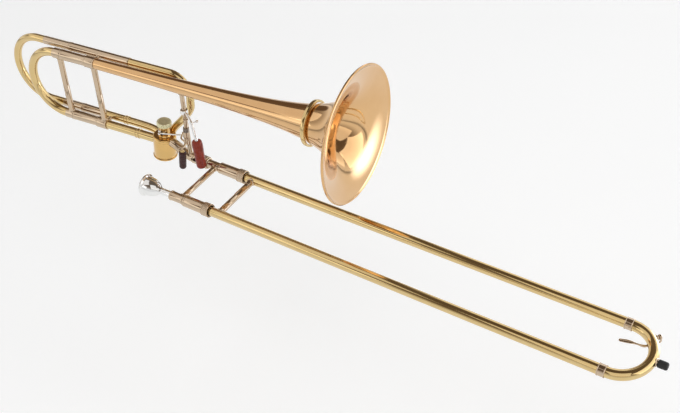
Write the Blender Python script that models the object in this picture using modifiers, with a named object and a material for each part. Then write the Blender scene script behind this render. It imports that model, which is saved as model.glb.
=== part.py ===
"""A tenor trombone with a valve attachment, built at its real size.

The hand slide lies along X and Y, with +X the way that the slide runs out. The bell section
stands above it (+Z), turned a few degrees to the slide as the player sets it. The origin is on
the bell-side slide tube, where the inner brace meets it and the left hand holds the instrument.
"""
import math

import bmesh
import bpy
from mathutils import Euler, Matrix, Vector

X_AXIS = Vector((1.0, 0.0, 0.0))
Y_AXIS = Vector((0.0, 1.0, 0.0))
Z_AXIS = Vector((0.0, 0.0, 1.0))

# Fits
SEAT = 0.0003  # between two pieces that touch
SLIP = 0.00025  # between a tube and the tube that slides in it
PASS = 0.0020  # how far a cutter reaches past what it cuts

# Hand slide
TUBE_SPACING = 0.092
OUTER_BORE = 0.00735
OUTER_WALL = 0.00045
INNER_WALL = 0.00050
STOCKING_LENGTH = 0.110
STOCKING_STEP = 0.00025
BOW_START = 0.715
BOW_DEPTH = 0.043
OUTER_START = 0.0515
OUTER_BRACE_X = 0.0752
SLIDE_BRACE_RADIUS = 0.0046
FERRULE_LENGTH = 0.011
FERRULE_WALL = 0.0008
END_BOW_WALL = 0.0006
OUTER_RADIUS = OUTER_BORE + OUTER_WALL
STOCKING_RADIUS = OUTER_BORE - SLIP
INNER_RADIUS = STOCKING_RADIUS - STOCKING_STEP
INNER_BORE = INNER_RADIUS - INNER_WALL
SEAT_LENGTH = 0.030
INNER_TUBE_BACK = 0.010

# Cork barrels, mouthpiece receiver and slide tenon
BARREL_START = 0.008
BARREL_LENGTH = 0.052
BARREL_WALL = 0.0014
MOUTH_DEPTH = 0.010
RING_LENGTH = 0.0130
RING_THICKNESS = 0.0012
RECEIVER_LENGTH = 0.028
RECEIVER_WALL = 0.0012
TENON_LENGTH = 0.050
TENON_WALL = 0.0008
BARREL_MOUTH = OUTER_RADIUS + 0.0004
BARREL_RADIUS = BARREL_MOUTH + BARREL_WALL
BARREL_END = BARREL_START + BARREL_LENGTH
TENON_RADIUS = STOCKING_RADIUS + 0.0001
RECEIVER_REAR = BARREL_START - SEAT - RECEIVER_LENGTH
TENON_REAR = BARREL_START - SEAT - TENON_LENGTH

# Mouthpiece
RIM_RADIUS = 0.0188
CUP_RADIUS = 0.0128
CUP_DEPTH = 0.024
MOUTHPIECE_LENGTH = 0.079
SHANK_RADIUS = 0.0062
SHANK_TAPER = 0.0006
THROAT_RADIUS = 0.0035
SHANK_DEPTH = 0.024

# Slide end: bumper and water key
BUMPER_RADIUS = 0.0056
BUMPER_LENGTH = 0.0136
SPIGOT_RADIUS = 0.0030
SPIGOT_LENGTH = 0.0085
SOCKET_RADIUS = 0.0052
SOCKET_LENGTH = 0.0008
KEY_ANGLE = math.radians(48.0)
KEY_PIN_RADIUS = 0.0012
KEY_PIN_HEIGHT = 0.0125
KEY_WIDTH = 0.0090
KEY_FLATNESS = 0.55
NIPPLE_RADIUS = 0.0026
NIPPLE_HEIGHT = 0.0024
CORK_THICKNESS = 0.0016

# Bell section frame, in the slide's frame
BELL_ORIGIN = Vector((-0.0704, 0.0, 0.0))
BELL_ROLL = math.radians(-4.0)
BELL_YAW = math.radians(5.0)

# Bell
BELL_HEIGHT = 0.1348
BELL_RIM_X = 0.332
BELL_TAIL_X = -0.1547
BELL_RADIUS = 0.108
BELL_WALL = 0.0008
BELL_BEAD = 0.0020
FLARE_REACH = 0.0149
FLARE_POWER = 0.70
BELL_STATIONS = 14
RING_WIDTH = 0.0070
RING_BAND = 0.0042
RING_BORE = 0.0325

# Main tuning slide
LOWER_HEIGHT = 0.0148
TUNING_BOW_X = -0.245
TUNING_RADIUS = 0.0075
TUNING_INNER = 0.0073
TUNING_WALL = 0.0006
TUNING_COLLAR = 0.018
TUNING_END_X = -0.165
TUNING_BRACE_X = -0.2335
FIXED_BRACE_X = -0.1618
SLEEVE_END_X = -0.155
SLEEVE_RING_LENGTH = 0.021
LEG_BRACE_RADIUS = 0.0051
UPPER_SLEEVE_WALL = 0.0013
LOWER_SLEEVE_WALL = 0.0009
SLEEVE_RING_STEP = 0.0010

# Valve tuning loop, behind the main one
LOOP_OFFSET = 0.021
LOOP_TOP = BELL_HEIGHT + 0.0049
LOOP_BOTTOM = LOWER_HEIGHT + 0.0031
LOOP_BOW_X = -0.296
LOOP_TOP_GOLD = 0.016
LOOP_BOTTOM_GOLD = 0.030
LOOP_SPLIT_X = -0.224
LOOP_TOP_END_X = -0.100
LOOP_BOTTOM_END_X = -0.178
LOOP_RADIUS = 0.0068
LOOP_INNER = 0.00645
LOOP_WALL = 0.0005
LOOP_SLEEVE = 0.0074
LOOP_BEND_X = -0.020
LOOP_BEND_RADIUS = 0.035
LOOP_BRACE_RADIUS = 0.0030

# Gold tubes to the valve
LOWER_STRAIGHT_X = -0.100
LOWER_EASE_X = -0.075
LOWER_PORT_X = -0.045
LOOP_EASE_X = -0.082
LOOP_TURN_X = -0.068
LOOP_PORT_X = -0.050
LOOP_PORT = Vector((0.0038, 0.0120, 0.0270))  # from the valve's place

# Valve, in its own leaning frame on the bell section
VALVE_PLACE = Vector((-0.0443, 0.006, -0.015))
VALVE_LEAN = math.radians(7.0)
DRUM_RADIUS = 0.0195
DRUM_HEIGHT = 0.039
DRUM_WALL = 0.0022
DRUM_TOP_WALL = 0.0028
ROTOR_CLEARANCE = 0.0003
ROTOR_FLOOR = 0.0032
PORT_HEIGHT = 0.029
PORT_RADIUS = 0.0060
SPINDLE_RADIUS = 0.0030
NECK_RADIUS = 0.0098
NECK_WALL = 0.0020
NECK_HEIGHT = 0.0195
CAP_RADIUS = 0.0125
CAP_HEIGHT = 0.0080
ARM_HEIGHT = 0.0478
ARM_THICKNESS = 0.0034
ARM_BAR = 0.0013
ARM_PIN = 0.0008
BALL_RADIUS = 0.0022
BALL_REACH = 0.0135
BALL_ANGLE = math.radians(-90.0)
ROTOR_TURN = math.radians(44.7)

# Trigger lever, its link and its bearing on the bell brace
LEVER_P = 0.0560
LEVER_Q = -0.017
LEVER_SHAFT = 0.0019
LEVER_BEARING = 0.0036
LEVER_LOW = 0.0540
BEARING_LOW = 0.0680
CRANK_REACH = 0.028
CRANK_ANGLE = math.radians(135.0)
LINK_RADIUS = 0.0011
EYE_HALF = 0.0014
EYE_RADIUS = 0.0025
CRANK_PIN = 0.0009
CRANK_EYE_BORE = 0.0013
BALL_EYE_BORE = 0.0018
BALL_EYE_OFFSET = Vector((0.00018, -0.00075, 0.0))  # evens out the eye's travel round its pin
THUMB_PLACE = Vector((0.0576, -0.0310, 0.0133))
THUMB_LENGTH = 0.0355
THUMB_RADIUS = 0.0060

# Neckpipe, bell brace and hand rest
NECK_PIPE_RADIUS = 0.0080
NECK_PIPE_WALL = 0.0009
BELL_RECEIVER_LENGTH = 0.021
BELL_RECEIVER_WALL = 0.0016
NUT_LENGTH = 0.018
NUT_OVERLAP = 0.0068
NUT_WALL = 0.0013
BRACE_U = 0.015
BRACE_V = -0.0005
BRACE_RADIUS = 0.0038
CLAMP_HEIGHT = 0.0886
CLAMP_WALL = 0.0024
CLAMP_LENGTH = 0.0075
BEARING_HIGH = CLAMP_HEIGHT + 0.0174
REST_ROD = 0.0020
REST_BOSS = 0.0030
SCREW_WAY = Vector((0.545, 0.84, 0.0))
REST_GRIP = 0.0085
REST_TOP = Vector((0.0512, -0.025, 0.0575))
REST_FOOT = Vector((0.0545, -0.025, 0.0055))

PARTS = "trombone"
CUTTERS = "cutters"


def clear_scene():
    for thing in list(bpy.data.objects):
        bpy.data.objects.remove(thing, do_unlink=True)
    for name in (PARTS, CUTTERS):
        group = bpy.data.collections.new(name)
        bpy.context.scene.collection.children.link(group)


def finish(name, colour, metallic, roughness):
    made = bpy.data.materials.new(name)
    made.use_nodes = True
    shader = made.node_tree.nodes["Principled BSDF"]
    shader.inputs["Base Color"].default_value = (*colour, 1.0)
    shader.inputs["Metallic"].default_value = metallic
    shader.inputs["Roughness"].default_value = roughness
    made.diffuse_color = (*colour, 1.0)
    return made


def make_finishes():
    return {
        "gold_brass": finish("gold_brass", (0.80, 0.58, 0.22), 1.0, 0.16),
        "rose_brass": finish("rose_brass", (0.83, 0.50, 0.27), 1.0, 0.16),
        "nickel": finish("nickel", (0.66, 0.58, 0.50), 1.0, 0.22),
        "silver": finish("silver", (0.88, 0.88, 0.87), 1.0, 0.10),
        "red_wood": finish("red_wood", (0.30, 0.045, 0.03), 0.0, 0.35),
        "dark_wood": finish("dark_wood", (0.055, 0.02, 0.018), 0.0, 0.35),
        "rubber": finish("rubber", (0.012, 0.012, 0.012), 0.0, 0.6),
        "cork": finish("cork", (0.45, 0.30, 0.17), 0.0, 0.9),
    }


def add(name, mesh, slot=None):
    """Puts a mesh in the scene, as a part with its finish or as a cutter."""
    thing = bpy.data.objects.new(name, mesh)
    group = bpy.data.collections[PARTS if slot else CUTTERS]
    group.objects.link(thing)
    if slot:
        mesh.materials.append(FINISHES[slot])
    else:
        thing.hide_render = True
        thing.display_type = "WIRE"
    return thing


def place(thing, frame, spot=(0.0, 0.0, 0.0), along=Z_AXIS):
    """Stands a piece in a frame with its own Z axis along a direction."""
    thing.parent = frame
    thing.location = spot
    thing.rotation_euler = Z_AXIS.rotation_difference(Vector(along).normalized()).to_euler()
    return thing


def turned(name, slot, outer, inner=None, sides=14):
    """Turns (height, radius) outlines, listed upwards, about Z. An inner one makes a bore."""
    mesh = bpy.data.meshes.new(name)
    shape = bmesh.new()
    outline = list(reversed(outer)) + list(inner or [])
    corners = [shape.verts.new((radius, 0.0, height)) for height, radius in outline]
    for first, second in zip(corners, corners[1:]):
        shape.edges.new((first, second))
    if inner:
        shape.edges.new((corners[-1], corners[0]))
    shape.to_mesh(mesh)
    shape.free()
    thing = add(name, mesh, slot)
    screw = thing.modifiers.new("turn", "SCREW")
    screw.axis = "Z"
    screw.angle = 2.0 * math.pi
    screw.steps = sides
    screw.render_steps = sides
    screw.use_merge_vertices = True
    screw.merge_threshold = 0.00001
    screw.use_smooth_shade = True
    return thing


def tube(name, slot, low, high, outer, bore, sides=14):
    return turned(name, slot, [(low, outer), (high, outer)], [(low, bore), (high, bore)], sides)


def rod(name, slot, low, high, radius, sides=14):
    outline = [(low, 0.0), (low, radius), (high, radius), (high, 0.0)]
    return turned(name, slot, outline, sides=sides)


def arc(centre, radius, start, stop, steps):
    """Points (a, b) on an arc, in degrees."""
    turns = [math.radians(start + (stop - start) * step / steps) for step in range(steps + 1)]
    return [(centre[0] + radius * math.cos(t), centre[1] + radius * math.sin(t)) for t in turns]


def smooth_route(points, per_span):
    """Reads points from a smooth curve through the route's own points."""
    route = [Vector(point) for point in points]
    ends = [route[0] * 2.0 - route[1]] + route + [route[-1] * 2.0 - route[-2]]
    path = []
    for span in range(len(route) - 1):
        before, start, stop, after = ends[span:span + 4]
        for step in range(per_span):
            t = step / per_span
            path.append(0.5 * (2.0 * start + (stop - before) * t
                               + (2.0 * before - 5.0 * start + 4.0 * stop - after) * t ** 2
                               + (3.0 * start - before - 3.0 * stop + after) * t ** 3))
    path.append(route[-1])
    return path


def pipe(name, slot, path, radius, sides=12):
    """A solid round bar along a path, as a mesh. The radius is one value, or one a point."""
    curve = bpy.data.curves.new(name, "CURVE")
    curve.dimensions = "3D"
    curve.use_fill_caps = True
    curve.bevel_resolution = sides // 2 - 2
    radii = radius if isinstance(radius, list) else [radius] * len(path)
    curve.bevel_depth = 1.0
    spline = curve.splines.new("POLY")
    spline.points.add(len(path) - 1)
    for point, spot, size in zip(spline.points, path, radii):
        point.co = (*spot, 1.0)
        point.radius = size
    guide = bpy.data.objects.new(name, curve)
    bpy.data.collections[CUTTERS].objects.link(guide)
    bpy.context.view_layer.update()
    ready = guide.evaluated_get(bpy.context.evaluated_depsgraph_get())
    mesh = bpy.data.meshes.new_from_object(ready)
    bpy.data.objects.remove(guide, do_unlink=True)
    shape = bmesh.new()
    shape.from_mesh(mesh)
    bmesh.ops.remove_doubles(shape, verts=shape.verts, dist=0.000001)
    bmesh.ops.recalc_face_normals(shape, faces=shape.faces)
    shape.to_mesh(mesh)
    shape.free()
    mesh.materials.clear()
    mesh.shade_smooth()
    mesh.set_sharp_from_angle(angle=math.radians(50.0))
    return add(name, mesh, slot)


def longer(path):
    """The same path, run on a little past both ends."""
    first = (path[0] - path[1]).normalized() * PASS
    last = (path[-1] - path[-2]).normalized() * PASS
    return [path[0] + first] + list(path[1:-1]) + [path[-1] + last]


def change(thing, other, operation="DIFFERENCE"):
    step = thing.modifiers.new(operation.lower(), "BOOLEAN")
    step.operation = operation
    step.object = other
    step.solver = "EXACT"
    return thing


def bent_tube(name, slot, frame, path, outer, bore, sides=12):
    """A bent tube with its bore, along a path in a frame."""
    thing = place(pipe(name, slot, path, outer, sides), frame)
    core = place(pipe(name + "_bore", None, longer(path), bore, sides), frame)
    return change(thing, core)


def block(name, slot, low, high):
    mesh = bpy.data.meshes.new(name)
    shape = bmesh.new()
    bmesh.ops.create_cube(shape, size=1.0)
    for corner in shape.verts:
        corner.co = [a + (b - a) * (c + 0.5) for a, b, c in zip(low, high, corner.co)]
    shape.to_mesh(mesh)
    shape.free()
    return add(name, mesh, slot)


def ball(name, slot, radius, squash=(1.0, 1.0, 1.0)):
    mesh = bpy.data.meshes.new(name)
    shape = bmesh.new()
    bmesh.ops.create_uvsphere(shape, u_segments=10, v_segments=6, radius=radius)
    for corner in shape.verts:
        corner.co = [c * s for c, s in zip(corner.co, squash)]
    shape.to_mesh(mesh)
    shape.free()
    mesh.shade_smooth()
    return add(name, mesh, slot)


def frame_empty(name, matrix, parent=None):
    frame = bpy.data.objects.new(name, None)
    bpy.data.collections[PARTS].objects.link(frame)
    frame.parent = parent
    frame.matrix_local = matrix
    bpy.context.view_layer.update()
    return frame


def tube_cutter(name, frame, spot, along, radius, reach):
    """A round cutter with which a piece is shaped to the tube that it sits on."""
    return place(rod(name, None, -reach, reach, radius, 32), frame, spot, along)


def brace_outline(low, high, radius):
    """A brace with a turned collar and a spread foot at each end."""
    foot = radius * 1.35
    return [(low, 0.0), (low, foot), (low + radius * 1.7, foot), (low + radius * 2.1, radius),
            (high - radius * 2.1, radius), (high - radius * 1.7, foot), (high, foot), (high, 0.0)]


def inner_slide():
    """The parts that the left hand holds: receiver, tenon, cork barrels, inner tubes, brace."""
    rear = RECEIVER_REAR
    bore = SHANK_RADIUS + SEAT
    front = BARREL_START - SEAT
    outer = bore + RECEIVER_WALL
    receiver = turned("mouthpiece_receiver", "nickel",
                      [(rear, outer - 0.0004), (rear + 0.001, outer), (front, outer)],
                      [(rear, bore), (rear + SHANK_DEPTH + PASS, bore - SHANK_TAPER),
                       (front, bore - SHANK_TAPER)])
    place(receiver, None, (0.0, -TUBE_SPACING, 0.0), X_AXIS)
    tenon = tube("slide_tenon", "nickel", TENON_REAR, front, TENON_RADIUS,
                 TENON_RADIUS - TENON_WALL)
    place(tenon, None, (0.0, 0.0, 0.0), X_AXIS)
    for side, y in (("near", -TUBE_SPACING), ("far", 0.0)):
        place(cork_barrel("cork_barrel_" + side), None, (0.0, y, 0.0), X_AXIS)
        place(inner_tube("inner_tube_" + side), None, (0.0, y, 0.0), X_AXIS)
        place(barrel_ring(side), None, (0.0, y, 0.0), X_AXIS)
    slide_brace("inner_brace", 0.0, outer, TENON_RADIUS)


def cork_barrel(name):
    seat = STOCKING_RADIUS + SEAT
    step = BARREL_END - MOUTH_DEPTH
    outer = [(BARREL_START, BARREL_RADIUS - 0.0008), (BARREL_START + 0.0012, BARREL_RADIUS),
             (BARREL_END, BARREL_RADIUS)]
    inner = [(BARREL_START, seat), (step, seat), (step, BARREL_MOUTH), (BARREL_END, BARREL_MOUTH)]
    return turned(name, "nickel", outer, inner)


def barrel_ring(side):
    """The knurled ring on a barrel's mouth. The near one turns and locks the outer slide."""
    name = "slide_lock_ring" if side == "near" else "barrel_ring_far"
    bore = BARREL_RADIUS + SEAT
    low = BARREL_END - RING_LENGTH
    rim = bore + RING_THICKNESS
    edge = 0.0008
    outer = [(low, rim - edge), (low + edge, rim), (BARREL_END - edge, rim),
             (BARREL_END, rim - edge)]
    return turned(name, "nickel", outer, [(low, bore), (BARREL_END, bore)])


def inner_tube(name):
    low = BARREL_START + SEAT
    high = BOW_START - INNER_TUBE_BACK
    swell = high - STOCKING_LENGTH
    outer = [(low, STOCKING_RADIUS), (low + SEAT_LENGTH, STOCKING_RADIUS),
             (low + SEAT_LENGTH, INNER_RADIUS), (swell, INNER_RADIUS),
             (swell + 0.002, STOCKING_RADIUS), (high, STOCKING_RADIUS)]
    return turned(name, "silver", outer, [(low, INNER_BORE), (high, INNER_BORE)])


def slide_brace(name, x, near_radius, far_radius):
    """A straight brace between the two slide tubes, shaped to both of them."""
    brace = turned(name, "nickel", brace_outline(-TUBE_SPACING, 0.0, SLIDE_BRACE_RADIUS))
    place(brace, None, (x, 0.0, 0.0), Y_AXIS)
    for side, y, radius in (("near", -TUBE_SPACING, near_radius), ("far", 0.0, far_radius)):
        saddle = tube_cutter(name + "_" + side, None, (x, y, 0.0), X_AXIS, radius + SEAT, 0.012)
        change(brace, saddle)


def mouthpiece():
    """A turned mouthpiece: rounded rim, cup, throat and a tapered shank in the receiver."""
    back = RECEIVER_REAR + SHANK_DEPTH
    rim = back - MOUTHPIECE_LENGTH
    neck = rim + CUP_DEPTH * 1.65
    mouth = RECEIVER_REAR
    outer = [(rim + 0.0006, RIM_RADIUS - 0.0032), (rim, RIM_RADIUS - 0.0022)]
    outer += arc((rim + 0.0022, RIM_RADIUS - 0.0022), 0.0022, 150.0, 30.0, 4)[1:]
    outer += [(rim + 0.0050, RIM_RADIUS - 0.0032), (rim + CUP_DEPTH * 0.45, RIM_RADIUS - 0.0030),
              (rim + CUP_DEPTH * 0.8, RIM_RADIUS - 0.0062), (rim + CUP_DEPTH * 1.1, 0.0092),
              (rim + CUP_DEPTH * 1.4, 0.0062), (neck, SHANK_RADIUS * 0.85),
              (mouth - 0.003, SHANK_RADIUS), (mouth, SHANK_RADIUS),
              (back, SHANK_RADIUS - SHANK_TAPER)]
    inner = [(rim + 0.0006, CUP_RADIUS + 0.0014), (rim + 0.0030, CUP_RADIUS),
             (rim + CUP_DEPTH * 0.5, CUP_RADIUS * 0.88), (rim + CUP_DEPTH * 0.8, CUP_RADIUS * 0.62),
             (rim + CUP_DEPTH, THROAT_RADIUS), (rim + CUP_DEPTH + 0.008, THROAT_RADIUS),
             (back, SHANK_RADIUS - SHANK_TAPER - 0.0009)]
    thing = turned("mouthpiece", "silver", outer, inner, 18)
    place(thing, None, (0.0, -TUBE_SPACING, 0.0), X_AXIS)


def outer_slide():
    """The moving slide: two tubes, brace, end bow, ferrules, bumper and water key."""
    end = BOW_START - FERRULE_LENGTH * 0.35
    for side, y in (("near", -TUBE_SPACING), ("far", 0.0)):
        leg = tube("outer_tube_" + side, "gold_brass", OUTER_START, end - SEAT, OUTER_RADIUS,
                   OUTER_BORE)
        place(leg, None, (0.0, y, 0.0), X_AXIS)
        place(bow_ferrule("bow_ferrule_" + side), None, (0.0, y, 0.0), X_AXIS)
    slide_brace("outer_brace", OUTER_BRACE_X, OUTER_RADIUS, OUTER_RADIUS)
    end_bow(end)
    bumper()
    water_key()


def bow_ferrule(name):
    """A ferrule over the joint of an outer tube and the bow."""
    bore = OUTER_RADIUS + SEAT + 0.0001
    rim = bore + FERRULE_WALL
    high = BOW_START
    low = high - FERRULE_LENGTH
    edge = 0.0003
    outer = [(low, rim - edge), (low + edge, rim), (high - edge, rim), (high, rim - edge)]
    return turned(name, "nickel", outer, [(low, bore), (high, bore)])


def bow_point(angle):
    half = TUBE_SPACING / 2.0
    return Vector((BOW_START + BOW_DEPTH * math.cos(angle), half * (math.sin(angle) - 1.0), 0.0))


def bow_path(start):
    """The end bow's centre line in the XY plane: straight ends and half an ellipse."""
    turn = [bow_point(-math.pi / 2.0 + math.pi * step / 12) for step in range(13)]
    return [Vector((start, -TUBE_SPACING, 0.0))] + turn + [Vector((start, 0.0, 0.0))]


def end_bow(start):
    path = bow_path(start)
    bent_tube("end_bow", "gold_brass", None, path, OUTER_RADIUS, OUTER_RADIUS - END_BOW_WALL, 14)


def bumper():
    """The rubber bumper on the bow's tip, on the spigot of its small socket."""
    middle = -TUBE_SPACING / 2.0
    tip = BOW_START + BOW_DEPTH
    skin = tip + OUTER_RADIUS
    seat = skin + SOCKET_LENGTH
    outline = [(tip, 0.0), (tip, SOCKET_RADIUS), (seat, SOCKET_RADIUS), (seat, SPIGOT_RADIUS),
               (seat + SPIGOT_LENGTH, SPIGOT_RADIUS), (seat + SPIGOT_LENGTH, 0.0)]
    socket = turned("bumper_socket", "nickel", outline)
    place(socket, None, (0.0, middle, 0.0), X_AXIS)
    path = bow_path(BOW_START - FERRULE_LENGTH)
    change(socket, pipe("bow_skin", None, path, OUTER_RADIUS + SEAT, 14))
    low = seat + SEAT
    high = low + BUMPER_LENGTH
    soft = 0.0024
    bore = SPIGOT_RADIUS + SEAT
    depth = low + SPIGOT_LENGTH
    outer = [(low, BUMPER_RADIUS - 0.0006), (low + 0.0006, BUMPER_RADIUS)]
    outer += arc((high - soft, BUMPER_RADIUS - soft), soft, 90.0, 0.0, 4)
    outer += [(high, 0.0)]
    inner = [(depth, 0.0), (depth, bore), (low, bore)]
    rubber = turned("rubber_bumper", "rubber", inner + outer)
    place(rubber, None, (0.0, middle, 0.0), X_AXIS)


def water_key():
    """The water key: a sprung lever under the bow, with its cork on the outer nipple.

    Its frame stands on the bow's centre line, with X out of the bow and Z downwards.
    """
    way = math.atan2(math.sin(KEY_ANGLE) * BOW_DEPTH, math.cos(KEY_ANGLE) * TUBE_SPACING / 2.0)
    turn = Matrix.Rotation(way, 4, "Z") @ Matrix.Rotation(math.pi, 4, "X")
    frame = frame_empty("water_key_frame", Matrix.Translation(bow_point(KEY_ANGLE)) @ turn)
    skin = OUTER_RADIUS + SEAT
    nipple_top = skin + NIPPLE_HEIGHT
    nipple = turned("water_key_nipple", "nickel",
                    [(0.0, 0.0), (0.0, NIPPLE_RADIUS + 0.0016), (skin + 0.0009, NIPPLE_RADIUS),
                     (nipple_top, NIPPLE_RADIUS), (nipple_top, 0.0)])
    place(nipple, frame, (0.0, 0.0, 0.0), X_AXIS)
    change(nipple, bpy.data.objects["bow_skin"])
    key_saddle(frame)
    key_lever(frame, nipple_top)
    pin = turned("water_key_pin", "nickel",
                 [(-KEY_WIDTH, 0.0), (-KEY_WIDTH, KEY_PIN_RADIUS), (KEY_WIDTH * 0.82, KEY_PIN_RADIUS),
                  (KEY_WIDTH * 0.82, KEY_PIN_RADIUS + 0.0009), (KEY_WIDTH, KEY_PIN_RADIUS + 0.0006),
                  (KEY_WIDTH, 0.0)], sides=12)
    place(pin, frame, (0.0, 0.0, KEY_PIN_HEIGHT), Y_AXIS)


def key_saddle(frame):
    """Two ears on a saddle plate, shaped to the bow, that carry the key's pin."""
    wide = KEY_WIDTH * 0.8
    top = KEY_PIN_HEIGHT + 0.0026
    saddle = place(block("water_key_saddle", "nickel", (-0.0034, -wide, 0.0), (0.0034, wide, top)),
                   frame)
    room = KEY_WIDTH * 0.55
    gap = block("key_gap", None, (-0.01, -room, OUTER_RADIUS + 0.0016), (0.01, room, top + PASS))
    change(saddle, place(gap, frame))
    change(saddle, bpy.data.objects["bow_skin"])
    hole = rod("key_hole", None, -0.02, 0.02, KEY_PIN_RADIUS + 0.0002, 12)
    change(saddle, place(hole, frame, (0.0, 0.0, KEY_PIN_HEIGHT), Y_AXIS))


def key_lever(frame, nipple_top):
    """The lever: hub, arm to the finger plate inside the bow, arm to the cork cup outside."""
    hub_half = KEY_WIDTH * 0.55 - SEAT
    hub_radius = KEY_PIN_RADIUS + 0.0014
    lever = rod("water_key_lever", "nickel", -hub_half, hub_half, hub_radius, 12)
    place(lever, frame, (0.0, 0.0, KEY_PIN_HEIGHT), Y_AXIS)
    cup_low = nipple_top + CORK_THICKNESS + 2.0 * SEAT
    cup_x = cup_low + 0.0010
    high = KEY_PIN_HEIGHT
    outer_route = [(0.0, 0.0, high), (0.006, 0.0, high + 0.0012), (cup_x, 0.0, high - 0.0020),
                   (cup_x + 0.0012, 0.0, 0.0055), (cup_x, 0.0, 0.0)]
    outer_arm = pipe("key_outer_arm", None, smooth_route(outer_route, 2), 0.0011, 6)
    change(lever, place(outer_arm, frame), "UNION")
    inner_route = [(0.0, 0.0, 0.0), (-0.0090, -0.0005, 0.0010), (-0.0185, -0.0052, -0.0040),
                   (-0.0275, -0.0098, -0.0100), (-0.0363, -0.0142, -0.0130)]
    widths = [0.0013, 0.0013, 0.0013, 0.0013, 0.0014, 0.0022, 0.0031, 0.0029, 0.0011]
    inner_arm = place(pipe("key_inner_arm", None, smooth_route(inner_route, 2), widths, 8), frame,
                      (0.0, 0.0, high))
    inner_arm.scale = (1.0, 1.0, KEY_FLATNESS)
    change(lever, inner_arm, "UNION")
    cup = rod("key_cup", None, cup_low, cup_low + 0.0018, NIPPLE_RADIUS + 0.0012, 12)
    change(lever, place(cup, frame, (0.0, 0.0, 0.0), X_AXIS), "UNION")
    hole = rod("lever_hole", None, -0.02, 0.02, KEY_PIN_RADIUS + 0.0002, 12)
    change(lever, place(hole, frame, (0.0, 0.0, KEY_PIN_HEIGHT), Y_AXIS))
    cork = rod("water_key_cork", "cork", nipple_top + SEAT, nipple_top + SEAT + CORK_THICKNESS,
               NIPPLE_RADIUS + 0.0007, 12)
    place(cork, frame, (0.0, 0.0, 0.0), X_AXIS)


def flare_radius(reach):
    """The bell's radius at a distance from the pole of its flare."""
    top = BELL_RADIUS - BELL_BEAD
    return top * (FLARE_REACH / reach) ** FLARE_POWER


def bell_radius(u):
    return flare_radius(BELL_RIM_X + FLARE_REACH - u)


def flare_position(radius):
    """Where along the bell its outside has a radius."""
    top = BELL_RADIUS - BELL_BEAD
    reach = FLARE_REACH * (top / radius) ** (1.0 / FLARE_POWER)
    return BELL_RIM_X + FLARE_REACH - reach


def bell(frame):
    """The rose brass bell: a long taper that opens to a flare, with a rolled rim."""
    pole = BELL_RIM_X + FLARE_REACH
    longest = pole - BELL_TAIL_X
    outer = []
    inner = []
    for step in range(BELL_STATIONS):
        reach = longest * (FLARE_REACH / longest) ** (step / (BELL_STATIONS - 1))
        radius = flare_radius(reach)
        slope = math.atan(FLARE_POWER * radius / reach)
        outer.append((pole - reach, radius))
        inner.append((pole - reach + BELL_WALL * math.sin(slope),
                      radius - BELL_WALL * math.cos(slope)))
    inner[0] = (BELL_TAIL_X, inner[0][1])
    bead_centre = (BELL_RIM_X, BELL_RADIUS - BELL_BEAD)
    outer = outer[:-1] + arc(bead_centre, BELL_BEAD, 190.0, -60.0, 7)
    inner = inner[:-1]
    place(turned("bell", "rose_brass", outer, inner, 32), frame, (0.0, 0.0, BELL_HEIGHT), X_AXIS)
    seat = flare_position(RING_BORE - 4.0 * SEAT)
    band = RING_BORE + RING_BAND
    low = seat - RING_WIDTH
    edge = 0.0012
    rim = [(low, band - edge), (low + edge, band), (seat - edge, band), (seat, band - edge)]
    ring = turned("throat_ring", "gold_brass", rim, [(low, RING_BORE), (seat, RING_BORE)], 24)
    place(ring, frame, (0.0, 0.0, BELL_HEIGHT), X_AXIS)


def loop_path(centre, bow_x, top, bottom, top_end, bottom_end, steps):
    """A bow that opens forward, in a plane of the bell section at one offset."""
    middle = (top + bottom) / 2.0
    turn = arc((bow_x, middle), (top - bottom) / 2.0, 90.0, 270.0, steps)
    flat = [(top_end, top)] + turn + [(bottom_end, bottom)]
    kept = [flat[0]]
    for point in flat[1:]:
        if math.dist(point, kept[-1]) > 0.0005:
            kept.append(point)
    return [Vector((a, centre, b)) for a, b in kept]


def stepped_leg(name, frame, offset, height, start, split, end, collar, inner, wall):
    """A slide leg that moves: a collar that shows and the inner tube that runs in a sleeve."""
    outer = [(start, collar), (split - SEAT, collar), (split - SEAT, inner), (end, inner)]
    leg = turned(name, "nickel", outer, [(start, inner - wall), (end, inner - wall)])
    return place(leg, frame, (0.0, offset, height), X_AXIS)


def tuning_slide(frame):
    """The main tuning slide at the back: bow, two legs and the brace between their collars."""
    end = TUNING_BOW_X
    path = loop_path(0.0, TUNING_BOW_X, BELL_HEIGHT, LOWER_HEIGHT, end + 0.001, end + 0.001, 12)
    bent_tube("tuning_bow", "gold_brass", frame, path, TUNING_RADIUS,
              TUNING_RADIUS - TUNING_WALL, 14)
    start = end + 0.001 + SEAT
    split = end + TUNING_COLLAR
    bore = TUNING_INNER + SLIP
    for side, height, wall in (("upper", BELL_HEIGHT, UPPER_SLEEVE_WALL),
                               ("lower", LOWER_HEIGHT, LOWER_SLEEVE_WALL)):
        stepped_leg("tuning_leg_" + side, frame, 0.0, height, start, split, TUNING_END_X,
                    bore + wall, TUNING_INNER, TUNING_WALL)
    leg_brace("tuning_brace", frame, TUNING_BRACE_X, 0.0, 0.0)


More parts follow.
